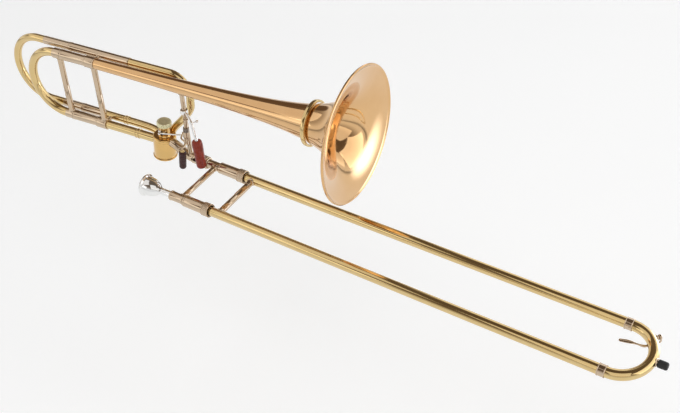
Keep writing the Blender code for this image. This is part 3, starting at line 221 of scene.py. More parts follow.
class Recipe:
    """A material's or world's node tree while it is put together."""

    def __init__(self, owner):
        owner.use_nodes = True
        self.owner = owner
        self.tree = owner.node_tree
        self.tree.nodes.clear()

    def node(self, kind, settings=None, values=None, out=0):
        """Adds a node: its settings first, then the values or links of its sockets."""
        made = self.tree.nodes.new(kind)
        for key, value in (settings or {}).items():
            if key == "stops":
                ramp = made.color_ramp
                while len(ramp.elements) < len(value):
                    ramp.elements.new(0.5)
                for stop, (place, shade) in zip(ramp.elements, value):
                    stop.position = place
                    stop.color = (*shade, 1.0)
            else:
                setattr(made, key, value)
        for key, value in (values or {}).items():
            socket = self.find(made.inputs, key)
            if isinstance(value, Wire):
                self.tree.links.new(value.socket, socket)
            else:
                socket.default_value = value
        return Wire(self, self.find(made.outputs, out)) if len(made.outputs) else None

    @staticmethod
    def find(sockets, key):
        if isinstance(key, int):
            return sockets[key]
        for socket in sockets:
            if socket.identifier == key:
                return socket
        return sockets[key]

    def blend(self, share, first, second):
        """Mixes two colours."""
        first, second = [(*c, 1.0) if isinstance(c, tuple) else c for c in (first, second)]
        return self.node("ShaderNodeMix", {"data_type": "RGBA"},
                         {"Factor_Float": share, "A_Color": first, "B_Color": second},
                         "Result_Color")

    def place(self, stretch=(1.0, 1.0, 1.0)):
        """Points on the piece in metres, as it lay on the bench, stretched along its own axes."""
        spot = self.node("ShaderNodeAttribute", {"attribute_name": BENCH_SPOT}, out="Vector")
        return self.node("ShaderNodeMapping", None, {"Vector": spot, "Scale": stretch})

    def noise(self, spot, scale, detail=2.0, roughness=0.5):
        return self.node("ShaderNodeTexNoise", None,
                         {"Vector": spot, "Scale": scale, "Detail": detail,
                          "Roughness": roughness}, "Fac")

    def step(self, value, low, high):
        """Runs smoothly from 0 at low to 1 at high."""
        return self.node("ShaderNodeMapRange", {"interpolation_type": "SMOOTHSTEP"},
                         {"Value": value, "From Min": low, "From Max": high})

    def bump(self, height, distance, strength, below=None):
        values = {"Height": height, "Distance": distance, "Strength": strength}
        if below:
            values["Normal"] = below
        return self.node("ShaderNodeBump", None, values)

    def surface(self, values, shader="ShaderNodeBsdfPrincipled"):
        """Ends a material with its shader, and returns the material."""
        made = self.node(shader, None, values)
        self.node("ShaderNodeOutputMaterial", None, {"Surface": made})
        return self.owner


def metal(name, bright, deep, base_roughness, coat, stains=0.35, lines=0.0):
    """Polished metal: clouded colour, handling marks, fine buffing and tarnish in specks."""
    recipe = Recipe(bpy.data.materials.new(name))
    spot = recipe.place()
    clouds = recipe.noise(spot, 34.0, 3.0, 0.55)
    smears = recipe.noise(recipe.place((1.0, 1.0, 0.35)), 120.0, 4.0, 0.6)
    specks = recipe.step(recipe.noise(spot, 900.0, 2.0, 0.6), 0.66, 0.80)
    hairs = recipe.noise(recipe.place((1.0, 1.0, 26.0)), 60.0, 3.0, 0.7)
    scratches = recipe.step(hairs, 0.58, 0.74)
    tone = recipe.step(clouds, 0.30, 0.75) * stains + specks * 0.22
    shade = recipe.blend(tone, bright, deep)
    gloss = (base_roughness + recipe.step(smears, 0.45, 0.80) * 0.09 + specks * 0.10
             + scratches * 0.05)
    waves = recipe.bump(clouds, 0.00002, 0.4)
    height = scratches * -0.4 + specks * -0.3
    if lines:
        height = height + recipe.noise(recipe.place((0.02, 0.02, 1.0)), 2400.0, 1.0) * lines
    fine = recipe.bump(height, 0.000012, 0.7, waves)
    return recipe.surface({"Base Color": shade, "Metallic": 1.0, "Roughness": gloss,
                           "Normal": fine, "Coat Weight": coat, "Coat Roughness": 0.06,
                           "Coat IOR": 1.5})


def wood(name, colour_value, pore_colour, ring_scale):
    """Turned wood under varnish: long grain, pores, and a worn gloss."""
    recipe = Recipe(bpy.data.materials.new(name))
    along = recipe.place((1.0, 1.0, 0.07))
    warp = recipe.noise(recipe.place((1.0, 1.0, 0.25)), 90.0, 3.0)
    grain = recipe.node("ShaderNodeTexWave", {"wave_type": "BANDS", "bands_direction": "X"},
                        {"Vector": along, "Scale": ring_scale, "Distortion": 9.0, "Detail": 3.0,
                         "Detail Scale": 1.4}, "Fac")
    tubes = recipe.noise(recipe.place((1.0, 1.0, 0.035)), 2600.0, 2.0, 0.6)
    pores = recipe.step(tubes, 0.55, 0.72)
    light = tuple(min(1.0, c * 1.5) for c in colour_value)
    shade = recipe.blend(recipe.step(grain, 0.15, 0.95), colour_value, light)
    shade = recipe.blend(recipe.step(warp, 0.35, 0.75) * 0.45, shade, colour_value)
    shade = recipe.blend(pores * 0.6, shade, pore_colour)
    worn = recipe.noise(recipe.place(), 160.0, 4.0, 0.6)
    gloss = 0.24 + recipe.step(worn, 0.4, 0.8) * 0.16 + pores * 0.10
    normal = recipe.bump(pores * -1.0 + grain * 0.25, 0.00006, 0.5)
    return recipe.surface({"Base Color": shade, "Roughness": gloss, "Normal": normal,
                           "Specular IOR Level": 0.25, "Coat Weight": 0.12,
                           "Coat Roughness": 0.12})


def rubber(name, colour_value):
    """Matt rubber with grit and dust."""
    recipe = Recipe(bpy.data.materials.new(name))
    grit = recipe.noise(recipe.place(), 2200.0, 3.0, 0.6)
    dust = recipe.step(recipe.noise(recipe.place(), 260.0, 4.0, 0.65), 0.52, 0.85)
    pale = tuple(c + 0.014 for c in colour_value)
    shade = recipe.blend(dust * 0.6, colour_value, pale)
    return recipe.surface({"Base Color": shade, "Roughness": 0.48 + grit * 0.28,
                           "Normal": recipe.bump(grit, 0.00008, 0.5)})


def cork(name):
    """Pressed cork: pale cells with dark flecks."""
    recipe = Recipe(bpy.data.materials.new(name))
    cells = recipe.node("ShaderNodeTexVoronoi", {"feature": "F1"},
                        {"Vector": recipe.place(), "Scale": 1400.0}, "Distance")
    flecks = recipe.step(recipe.noise(recipe.place(), 700.0, 2.0), 0.56, 0.66)
    shade = recipe.blend(recipe.step(cells, 0.1, 0.7), (0.30, 0.17, 0.08), (0.52, 0.34, 0.19))
    shade = recipe.blend(flecks * 0.7, shade, (0.10, 0.05, 0.03))
    return recipe.surface({"Base Color": shade, "Roughness": 0.82 + flecks * 0.1,
                           "Normal": recipe.bump(cells, 0.0001, 0.6)})


MADE = {}


class TROMBONE_OT_finishes(bpy.types.Operator):
    """Makes the finish of every surface"""
    bl_idname = "trombone.finishes"
    bl_label = "Finishes"

    def execute(self, context):
        chosen = {key: tuple(getattr(context.scene.trombone_finish, key))
                  for key in Finishes.__annotations__}
        self.metals(chosen)
        for key, pores in (("red_wood", (0.06, 0.012, 0.008)),
                           ("dark_wood", (0.010, 0.004, 0.004))):
            MADE[key] = wood("varnished_" + key, chosen[key], pores, 260.0)
        MADE["rubber"] = rubber("black_rubber", chosen["rubber"])
        MADE["cork"] = cork("stop_cork")
        return {"FINISHED"}

    @staticmethod
    def metals(chosen):
        """Two brasses have a deep shade of their own. The others darken by a share."""
        MADE["gold"] = metal("lacquered_brass", chosen["gold"], chosen["gold_deep"], 0.085, 0.5)
        MADE["rose"] = metal("rose_brass_lacquer", chosen["rose"], chosen["rose_deep"], 0.075,
                             0.5, 0.30, 0.25)
        for key, name, share, roughness, coat in (
                ("valve_gold", "valve_brass", 0.80, 0.11, 0.4),
                # The cap's brass is painted pale, a painted sheen for its knurl's reflections
                ("cap_gold_painted_sheen", "cap_brass", 0.70, 0.55, 0.2),
                ("rim_brown", "browned_rim", 0.60, 0.16, 0.4),
                ("nickel", "nickel_silver", 0.78, 0.085, 0.2),
                ("silver", "silver_plate", 0.80, 0.06, 0.0),
                ("steel", "spring_steel", 0.45, 0.22, 0.0)):
            deep = tuple(c * share for c in chosen[key])
            MADE[key] = metal(name, chosen[key], deep, roughness, coat)


# Mesh tools


def added(name, data):
    """Puts a new object in the scene."""
    thing = bpy.data.objects.new(name, data)
    bpy.context.scene.collection.objects.link(thing)
    return thing


def meshed(name, shape):
    """Makes an object from a finished bmesh."""
    mesh = bpy.data.meshes.new(name)
    shape.to_mesh(mesh)
    shape.free()
    return added(name, mesh)


def spread(start, stop, steps):
    """Even values from one number to another, both ends among them."""
    return [start + (stop - start) * step / steps for step in range(steps + 1)]


def around(sides):
    return spread(0.0, 2.0 * math.pi, sides)[:-1]


def each(value, count):
    """One value a point: a list stays and a number is repeated."""
    return list(value) if isinstance(value, (list, tuple)) else [value] * count


def mm(height, radius, *steps):
    """Points of an outline, in millimetres from a height and a radius."""
    return [(height + a / 1000.0, radius + b / 1000.0) for a, b in steps]


def skin(name, rings, closed=False):
    """Skins rings of points. A ring of one point is a tip, and open ends are capped."""
    shape = bmesh.new()
    rows = [[shape.verts.new(point) for point in ring] for ring in rings]
    pairs = list(zip(rows, rows[1:])) + ([(rows[-1], rows[0])] if closed else [])
    for first, second in pairs:
        count = max(len(first), len(second))
        for step in range(count):
            after = (step + 1) % count
            corners = [first[step % len(first)], first[after % len(first)],
                       second[after % len(second)], second[step % len(second)]]
            face = list(dict.fromkeys(corners))
            if len(face) > 2:
                shape.faces.new(face)
    for row in () if closed else (rows[0], rows[-1]):
        if len(row) > 2:
            shape.faces.new(row)
    bmesh.ops.recalc_face_normals(shape, faces=shape.faces)
    piece = meshed(name, shape)
    piece.data.shade_smooth()
    piece.data.set_sharp_from_angle(angle=SHARP)
    return piece


def circle(radius, height, sides=AROUND):
    return [Vector((radius * math.cos(t), radius * math.sin(t), height)) for t in around(sides)]


def eased(outline, reach, closed):
    """An outline with each sharp corner broken by a small round edge."""
    points = [Vector(point) for point in outline]
    made = []
    for number, point in enumerate(points):
        back = points[number - 1] - point
        ahead = points[(number + 1) % len(points)] - point
        inner = closed or 0 < number < len(points) - 1
        shorter = min(back.length, ahead.length)
        if not inner or shorter < TINY or back.angle(ahead) > NEARLY_STRAIGHT:
            made.append(point)
            continue
        cut_back = min(reach, 0.45 * shorter)
        start = point + back.normalized() * cut_back
        stop = point + ahead.normalized() * cut_back
        made += [start, start * 0.28 + point * 0.44 + stop * 0.28, stop]
    return made


def turned(name, outline, sides=AROUND, edge=0.00025):
    """Turns (height, radius) points about Z. A closed outline off the axis makes a ring."""
    full = outline[0][1] == 0.0 and outline[-1][1] == 0.0
    rings = []
    for height, radius in eased(outline, edge, not full):
        tip = abs(radius) < TINY
        rings.append([Vector((0.0, 0.0, height))] if tip else circle(radius, height, sides))
    return skin(name, rings, closed=not full)


def solid(name, outline, sides=AROUND, edge=0.00025):
    """Turns a piece that is full to its axis."""
    return turned(name, [(outline[0][0], 0.0)] + outline + [(outline[-1][0], 0.0)], sides, edge)


def sleeve(name, low, high, outer, bore, sides=AROUND, edge=0.0002):
    return turned(name, [(low, outer), (high, outer), (high, bore), (low, bore)], sides, edge)


def ball(name, radius):
    """A ball that is open at its foot, where it sits on its pin."""
    arcs = [(radius * math.sin(t), radius * math.cos(t))
            for t in spread(-math.pi / 2, math.pi / 2, 20)[1:-1]]
    return turned(name, arcs + [(radius, 0.0)], 40, 0.0)


def bead(height, radius, size, steps=6):
    """A half-round bead on a turned outline, upwards from its lower edge."""
    return [(height + size * (1.0 - math.cos(t)), radius + size * math.sin(t))
            for t in spread(0.0, math.pi, steps)]


def arc(centre, radius, start, stop, steps):
    """Points (a, b) on an arc, in degrees."""
    turns = [math.radians(turn) for turn in spread(start, stop, steps)]
    return [(centre[0] + radius * math.cos(t), centre[1] + radius * math.sin(t)) for t in turns]


def carriers(path):
    """At each point of a path: the point and two directions across it that don't twist."""
    made = []
    across = None
    for number, point in enumerate(path):
        way = (path[min(number + 1, len(path) - 1)] - path[max(number - 1, 0)]).normalized()
        if across is None:
            across = (Z_AXIS if abs(way.z) < 0.9 else X_AXIS).cross(way).normalized()
        else:
            across = (across - way * across.dot(way)).normalized()
        made.append((point, across, way.cross(across)))
    return made


def ring_on(carrier, radius, sides, flat=1.0):
    point, across, up = carrier
    return [point + across * (radius * math.cos(t)) + up * (radius * flat * math.sin(t))
            for t in around(sides)]


def bent(name, path, outer, bore, sides=48):
    """A bent tube with its bore."""
    posts = carriers(path)
    rings = [ring_on(post, outer, sides) for post in posts]
    rings += [ring_on(post, bore, sides) for post in reversed(posts)]
    return skin(name, rings, closed=True)


def bar(name, path, radius, sides=24, flat=1.0):
    """A round or flattened bar with rounded ends. The radius is one value, or one a point."""
    radii, flats = each(radius, len(path)), each(flat, len(path))
    posts = carriers(path)
    rings = [ring_on(post, size, sides, thin) for post, size, thin in zip(posts, radii, flats)]
    for at, beside in ((0, 1), (-1, -2)):
        way = (path[at] - path[beside]).normalized()
        point, across, up = posts[at]
        cap = []
        for share in (0.38, 0.70, 0.92):
            shift = way * (radii[at] * share * 0.8)
            size = radii[at] * math.sqrt(1.0 - share * share)
            cap.append(ring_on((point + shift, across, up), size, sides, flats[at]))
        cap.append([point + way * radii[at] * 0.8])
        rings = rings + cap if at else list(reversed(cap)) + rings
    return skin(name, rings)


def coil(name, radius, wire, turns, length_along):
    """A wound spring about Z."""
    whole = 2.0 * math.pi * turns
    path = [Vector((radius * math.cos(t), radius * math.sin(t), length_along * t / whole))
            for t in spread(0.0, whole, int(turns * 20))]
    return bar(name, path, wire, 10)


def teeth_band(low, high, radius):
    """Close heights between which a knurl can be cut."""
    return [(height, radius) for height in spread(low, high, max(2, round((high - low) / 0.0004)))]


def knurl(piece, low, high, teeth, depth, slant=0.0):
    """Cuts straight or crossed teeth into the skin between two heights of a turned piece."""
    spots = [vertex.co for vertex in piece.data.vertices]
    widest = max(spot.xy.length for spot in spots)
    for spot in spots:
        reach = spot.xy.length
        if low < spot.z < high and reach > widest * 0.93:
            turn = 0.5 * teeth * math.atan2(spot.y, spot.x)
            lift = slant * (spot.z - low)
            wave = abs(math.sin(turn + lift)) * abs(math.sin(turn - lift))
            spot.xy *= 1.0 - depth * (1.0 - wave) / reach
    return piece


def knurled_ring(name, low, high, rim, bore, teeth, depth, slant=1150.0, lip=0.0016):
    """A ring with a knurled band between two smooth lips."""
    outline = [(low, bore), (low, rim - 0.0005), (low + 0.0005, rim), (low + lip, rim),
               (low + lip + 0.0002, rim - 0.0003)]
    outline += teeth_band(low + lip + 0.0005, high - lip - 0.0005, rim)
    outline += [(high - lip - 0.0002, rim - 0.0003), (high - lip, rim), (high - 0.0005, rim),
                (high, rim - 0.0005), (high, bore)]
    ring = turned(name, outline, teeth * 8, 0.0)
    return knurl(ring, low + lip + 0.0004, high - lip - 0.0004, teeth, depth, slant)


def smooth_route(points, per_span):
    """Reads points from a smooth curve through the route's own points."""
    route = [Vector(point) for point in points]
    ends = [route[0] * 2.0 - route[1]] + route + [route[-1] * 2.0 - route[-2]]
    path = []
    for span in range(len(route) - 1):
        before, start, stop, after = ends[span:span + 4]
        for step in range(per_span):
            t = step / per_span
            path.append(0.5 * (2.0 * start + (stop - before) * t
                               + (2.0 * before - 5.0 * start + 4.0 * stop - after) * t ** 2
                               + (3.0 * start - before - 3.0 * stop + after) * t ** 3))
    return path + [route[-1]]


def smooth_outline(points, per_span):
    """The same smooth reading for the points of an outline."""
    return [(p.x, p.y) for p in smooth_route([(a, b, 0.0) for a, b in points], per_span)]


def curve_values(values, per_span):
    """The same smooth reading for one number a point."""
    return [p.x for p in smooth_route([(v, 0.0, 0.0) for v in values], per_span)]


def cut(piece, cutter):
    """Cuts one mesh with another for good."""
    step = piece.modifiers.new("cut", "BOOLEAN")
    step.operation = "DIFFERENCE"
    step.object = cutter
    step.solver = "EXACT"
    bpy.context.view_layer.update()
    ready = piece.evaluated_get(bpy.context.evaluated_depsgraph_get())
    mesh = bpy.data.meshes.new_from_object(ready)
    piece.modifiers.clear()
    piece.data = mesh
    bpy.data.objects.remove(cutter, do_unlink=True)
    mesh.set_sharp_from_angle(angle=SHARP)
    return piece


def screw_head(name, radius, height, slot):
    """A small cheese-head screw about Z with a driver slot."""
    head = solid(name, [(0.0, radius * 0.96), (height * 0.75, radius), (height, radius * 0.8)], 28,
                 0.0001)
    groove = bmesh.new()
    bmesh.ops.create_cube(groove, size=1.0)
    for corner in groove.verts:
        x, y, z = corner.co
        corner.co = (x * slot, y * radius * 3.0, height + z * height * 0.7)
    return cut(head, meshed("groove", groove))


def slab(name, outline, low, high, edge=0.0002):
    """A plate with a flat outline in XY, its edges broken."""
    middle = sum((Vector(p) for p in outline), Vector((0.0, 0.0))) / len(outline)
    rings = []
    for height, inset in ((low, edge), (low + edge, 0.0), (high - edge, 0.0), (high, edge)):
        arms = [Vector(point) - middle for point in outline]
        spots = [middle + arm * (1.0 - inset / max(arm.length, 1e-5)) for arm in arms]
        rings.append([Vector((spot.x, spot.y, height)) for spot in spots])
    return skin(name, rings)


def place(piece, stand=Matrix.Identity(4), spot=(0.0, 0.0, 0.0), along=Z_AXIS):
    """Stands a piece in a frame with its own Z axis along a direction."""
    turn = Z_AXIS.rotation_difference(Vector(along).normalized()).to_matrix().to_4x4()
    piece.matrix_world = stand @ Matrix.Translation(spot) @ turn
    return piece


def settle(piece):
    """Moves a placed piece's place into its mesh."""
    piece.data.transform(piece.matrix_world)
    piece.matrix_world = Matrix.Identity(4)


def fit(piece, finish, body, *nodes):
    """Gives a placed piece its finish and its body, and hides the solids it stands for.

    Its points first note where they lay on the bench, so that a finish follows the piece's axes.
    """
    mesh = piece.data
    noted = mesh.attributes.new(BENCH_SPOT, "FLOAT_VECTOR", "POINT")
    for vertex, spot in zip(mesh.vertices, noted.data):
        spot.vector = vertex.co
    settle(piece)
    mesh.materials.clear()
    mesh.materials.append(MADE[finish])
    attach(piece, body)
    if nodes:
        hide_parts(*nodes)
    return piece


def saddle_ring(reach, tube, lift, sides=48):
    """A ring on the skin of a tube that lies along X, at a distance from the brace's axis."""
    made = []
    for t in around(sides):
        across = reach * math.sin(t)
        height = math.sqrt(max((tube + lift) ** 2 - across ** 2, 0.0))
        made.append(Vector((reach * math.cos(t), across, height)))
    return made


def saddle_plate(name, tube, *marks):
    """A plate that lies on a tube along X. Each mark is its reach and its lift in millimetres."""
    rings = [saddle_ring(reach, tube, lift, 40) for lift, reach in mm(0.0, 0.0, *marks)]
    tips = [[Vector((0.0, 0.0, tube + mm(0.0, 0.0, marks[at])[0][0]))] for at in (0, -1)]
    return skin(name, tips[:1] + rings + tips[1:])


def brace(name, span, low_tube, high_tube, radius, foot, collar=0.0):
    """A brace between two tubes along X: each foot is a saddle that fits its tube."""

    def end(tube, width):
        rings = [[Vector((0.0, 0.0, tube - 0.0002))]]
        rings += [saddle_ring(width * share, tube, -0.0002) for share in (0.35, 0.7, 1.0)]
        rings += [saddle_ring(width + 0.0002, tube, 0.0003), saddle_ring(width, tube, 0.0007)]
        for turn in spread(0.0, math.pi / 2.0, 4):
            reach = width - 0.0004 - (width - 0.0004 - radius) * math.sin(turn)
            lift = 0.0007 + (1.0 - math.cos(turn)) * radius * 0.75
            rings.append(saddle_ring(reach, tube, lift))
        return rings

    start = low_tube + radius * 1.15
    stop = span - high_tube - radius * 1.15
    middle = (start + stop) / 2.0
    marks = [(start, radius)]
    if collar:
        marks += bead(start + radius * 0.35, radius, collar, 4)
    marks += mm(middle, radius, (-0.6, 0.0), (-0.2, -0.3), (0.2, -0.3), (0.6, 0.0))
    if collar:
        marks += bead(stop - radius * 0.35 - 2.0 * collar, radius, collar, 4)
    shaft = [circle(size, height, 48) for height, size in marks + [(stop, radius)]]
    high = [[Vector((p.x, p.y, span - p.z)) for p in ring] for ring in end(high_tube, foot)]
    return skin(name, end(low_tube, foot) + shaft + list(reversed(high)))


# Frames


def quarter(axis, turns=1.0):
    """A turn by quarters about one axis."""
    return Matrix.Rotation(turns * math.pi / 2.0, 4, axis)


def bell_frame():
    sizes = bpy.context.scene.trombone_bell
    turn = Euler((sizes.roll, 0.0, 0.0)).to_matrix() @ Euler((0.0, 0.0, sizes.yaw)).to_matrix()
    return Matrix.Translation((BELL_ORIGIN_X, 0.0, 0.0)) @ turn.to_4x4()


def valve_frame():
    lean = Matrix.Rotation(bpy.context.scene.trombone_valve.lean, 4, "Y")
    return bell_frame() @ Matrix.Translation(VALVE_PLACE) @ lean


def along_slide(y):
    """A frame whose Z axis is a slide tube's axis."""
    return Matrix.Translation((0.0, y, 0.0)) @ quarter("Y")


def along_bell(height, offset=0.0):
    """A frame whose Z axis runs along the bell section at one height."""
    return bell_frame() @ Matrix.Translation((0.0, offset, height)) @ quarter("Y")


# Hand slide


def slide_measures():
    """The hand slide's sizes and what follows from them."""
    sizes = bpy.context.scene.trombone_slide
    m = SimpleNamespace(**{key: getattr(sizes, key) for key in SlideSizes.__annotations__})
    m.outer_radius = m.outer_bore + m.outer_wall
    m.stocking = m.outer_bore - SLIP
    m.inner_radius = m.stocking - 0.00025
    m.inner_bore = m.inner_radius - 0.0005
    m.mouth = m.outer_radius + 0.0004
    m.barrel_radius = m.mouth + 0.0014
    m.barrel_end = m.barrel_start + m.barrel_length
    m.front = m.barrel_start - SEAT
    m.rear = m.front - m.receiver_length
    m.tenon_rear = m.front - 0.050
    m.bell_rear = m.tenon_rear - 0.0056
    m.bell_front = m.bell_rear + 0.021
    m.sides = (("near", -m.spacing), ("far", 0.0))
    m.bow_end = m.bow_start - FERRULE_LENGTH * 0.35
    m.bow_middle = Vector((m.bow_start + m.bow_depth, -m.spacing / 2.0, 0.0))
    return m


def barrel_band(m, name):
    """The knurled band at the end of a cork barrel."""
    return knurled_ring(name, m.barrel_end - 0.0130, m.barrel_end, m.barrel_radius + 0.0015,
                        m.barrel_radius + SEAT, BAND_TEETH, 0.0004)


def slide_brace(m, node, start, low_tube, high_tube, radius, body):
    """A beaded brace across the slide, from the near tube to the far one."""
    piece = brace(node + "_bar", m.spacing, low_tube, high_tube, radius, 0.0068, 0.0004)
    stand = Matrix.Translation((start, -m.spacing, 0.0)) @ quarter("X", -1.0)
    fit(place(piece, stand), "nickel", body, node)


class TROMBONE_OT_inner_slide(bpy.types.Operator):
    """Makes the part of the hand slide that the left hand holds"""
    bl_idname = "trombone.inner_slide"
    bl_label = "Inner slide"

    def execute(self, context):
        m = slide_measures()
        body = "inner_slide"
        receiver = turned("receiver_sleeve", mm(
            m.rear, RECEIVER_RADIUS, (0, -1.2), (0, 0), (0.6, 0.7), (2.4, 0.7), (3.0, 0)) + mm(
            m.front, RECEIVER_RADIUS, (-3.6, 0), (-3.2, 0.5), (0, 0.5), (0, -1.8))
            + mm(m.rear, RECEIVER_RADIUS, (26.0, -1.8)))
        fit(place(receiver, along_slide(-m.spacing)), "nickel", body, "mouthpiece_receiver")
        tenon = turned("tenon_sleeve", mm(
            m.tenon_rear, TENON_RADIUS, (0, -0.8), (0, -0.3), (0.4, 0)) + mm(
            m.front, TENON_RADIUS, (0, 0), (0, -0.8)))
        fit(place(tenon, along_slide(0.0)), "nickel", body, "slide_tenon")
        for side, y in m.sides:
            self.leg(m, side, along_slide(y))
        band = barrel_band(m, "barrel_band_far")
        fit(place(band, along_slide(0.0)), "nickel", body, "barrel_ring_far")
        slide_brace(m, "inner_brace", 0.0, RECEIVER_RADIUS, TENON_RADIUS, 0.0047, body)
        return {"FINISHED"}

    @staticmethod
    def leg(m, side, stand):
        seat = m.stocking + SEAT
        step = m.barrel_end - 0.010
        mouth = m.mouth + 0.0007
        barrel = turned("barrel_" + side, [(m.barrel_start, seat)] + mm(
            m.barrel_start, m.barrel_radius, (0, -1.2), (1.2, 0), (3.4, 0), (3.7, -0.2),
            (4.1, -0.2), (4.4, 0)) + [(m.barrel_end, m.barrel_radius), (m.barrel_end, mouth),
                                      (step, mouth), (step, seat)])
        fit(place(barrel, stand), "nickel", "inner_slide", "cork_barrel_" + side)
        low = m.barrel_start + SEAT
        high = m.bow_start - 0.010
        swell = high - 0.110
        tube = turned("inner_leg_" + side, [
            (low, m.inner_bore), (low, m.stocking), (low + 0.030, m.stocking),
            (low + 0.0304, m.inner_radius), (swell, m.inner_radius), (swell + 0.002, m.stocking),
            (high, m.stocking), (high, m.inner_bore)], edge=0.00015)
        fit(place(tube, stand), "silver", "inner_slide", "inner_tube_" + side)


class TROMBONE_OT_slide_lock(bpy.types.Operator):
    """Makes the knurled ring that locks the slide and the nut that holds the bell section"""
    bl_idname = "trombone.slide_lock"
    bl_label = "Slide lock and bell nut"

    def execute(self, context):
        m = slide_measures()
        ring = barrel_band(m, "lock_ring_knurled")
        fit(place(ring, along_slide(-m.spacing)), "nickel", "slide_lock_ring", "slide_lock_ring")
        low = m.bell_front - 0.0068
        high = low + 0.018
        bore = TENON_RADIUS + SEAT
        wide = bore + RECEIVER_WALL + SEAT
        rim = wide + 0.0013
        outline = [(low, wide)] + mm(low, rim, (0, -0.6), (0.6, 0), (2.2, 0), (2.5, -0.4))
        outline += teeth_band(low + 0.0028, high - 0.0052, rim)
        outline += mm(high, rim, (-4.9, -0.4), (-4.6, -0.1), (-3.0, -0.1), (-2.2, -1.0), (0, -1.6))
        step = m.bell_front + SEAT
        outline += [(high, bore), (step, bore), (step, wide)]
        nut = turned("bell_nut_knurled", outline, BAND_TEETH * 8, 0.0)
        knurl(nut, low + 0.0027, high - 0.0051, BAND_TEETH, 0.00045, 1150.0)
        fit(place(nut, along_slide(0.0)), "nickel", "slide_lock_nut", "slide_lock_nut")
        return {"FINISHED"}


class TROMBONE_OT_mouthpiece(bpy.types.Operator):
    """Makes the silver mouthpiece"""
    bl_idname = "trombone.mouthpiece"
    bl_label = "Mouthpiece"

    def execute(self, context):
        m = slide_measures()
        wide, shank = m.rim_radius, 0.0062
        back = m.rear + 0.024
        rim = back - m.mouthpiece_length
        outline = mm(rim, wide, (0.4, -4.0))
        outline += arc((rim + 0.0024, wide - 0.0024), 0.0024, 180.0, 20.0, 12)
        outline += mm(rim, wide, (4.6, -0.8), (5.4, -2.4), (6.2, -3.0))
        outline += smooth_outline(
            mm(rim, wide, (6.8, -3.1), (11.0, -3.2), (16.0, -3.8))
            + mm(rim, 0.0, (21.5, 13.5), (26.8, 10.8), (31.2, 7.4), (34.2, 6.0), (37.2, 5.5)), 5)
        outline += mm(rim, 0.0, (38.4, 5.6), (38.8, 6.2), (39.8, 6.2), (40.2, 5.5))
        outline += [(m.rear - 0.0045, 0.0060), (m.rear, shank), (back, shank - 0.0006)]
        inside = [(back, shank - 0.0015)] + mm(rim, 0.0, (34.0, 3.6), (24.0, 3.5), (19.2, 7.9),
                                               (12.0, 11.3), (3.5, 12.8), (1.2, 13.6))
        outline += [(height, max(radius, 0.0033)) for height, radius in smooth_outline(inside, 5)]
        piece = turned("mouthpiece_turned", outline, 96, 0.00015)
        fit(place(piece, along_slide(-m.spacing)), "silver", "mouthpiece", "mouthpiece")
        return {"FINISHED"}


def bow_point(m, turn):
    return Vector((m.bow_start + m.bow_depth * math.cos(turn),
                   m.spacing / 2.0 * (math.sin(turn) - 1.0), 0.0))


class TROMBONE_OT_outer_slide(bpy.types.Operator):
    """Makes the moving slide: tubes, brace, ferrules, end bow and bumper"""
    bl_idname = "trombone.outer_slide"
    bl_label = "Outer slide"

    def execute(self, context):
        m = slide_measures()
        body = "outer_slide"
        for side, y in m.sides:
            tube = sleeve("outer_leg_" + side, m.outer_start, m.bow_end - SEAT, m.outer_radius,
                          m.outer_bore)
            fit(place(tube, along_slide(y)), "gold", body, "outer_tube_" + side)
            bore = m.outer_radius + SEAT + 0.0001
            rim = bore + 0.0004
            low, high = m.bow_start - FERRULE_LENGTH, m.bow_start
            outline = [(low, bore), (low, rim)] + bead(low + 0.0001, rim, 0.0006)
            outline += bead(high - 0.0013, rim, 0.0006) + [(high, rim), (high, bore)]
            ferrule = turned("ferrule_" + side, outline, edge=0.0)
            fit(place(ferrule, along_slide(y)), "nickel", body, "bow_ferrule_" + side)
        slide_brace(m, "outer_brace", OUTER_BRACE_X, m.outer_radius, m.outer_radius, 0.0054, body)
        turns = spread(-math.pi / 2.0, math.pi / 2.0, 64)
        ends = [Vector((m.bow_end, y, 0.0)) for _, y in m.sides]
        path = ends[:1] + [bow_point(m, turn) for turn in turns] + ends[1:]
        bow = bent("end_bow_tube", path, m.outer_radius, m.outer_radius - 0.0006, 64)
        fit(place(bow), "gold", body, "end_bow")
        self.bumper(m, body)
        return {"FINISHED"}

    @staticmethod
    def bumper(m, body):
        base = saddle_plate("bumper_saddle", m.outer_radius, (-0.2, 6.2), (0.4, 6.2), (0.9, 5.6),
                            (1.0, 4.6))
        stand = Matrix.Translation(m.bow_middle) @ quarter("Y") @ quarter("Z")
        fit(place(base, stand), "nickel", body)
        stand = along_slide(-m.spacing / 2.0)
        skin_at = m.bow_middle.x + m.outer_radius
        spigot = solid("bumper_socket_turned",
                       mm(skin_at, 0.0, (-0.6, 4.0), (0.8, 4.0), (0.8, 3.0), (9.3, 3.0)), 40)
        fit(place(spigot, stand), "nickel", body, "bumper_socket")
        low = skin_at + 0.0008 + SEAT
        high = low + 0.0136
        wide = m.bumper_radius
        soft = 0.0025
        outline = [(low, wide - 0.0012)]
        outline += arc((low + 0.0010, wide - 0.0010), 0.0010, 180.0, 90.0, 4)
        outline += [(low + 0.005, wide + 0.0001), (high - soft, wide)]
        outline += arc((high - soft, wide - soft), soft, 90.0, 0.0, 8) + [(high, 0.0012)]
        fit(place(solid("bumper_turned", outline, 56, 0.0002), stand), "rubber", body,
            "rubber_bumper")


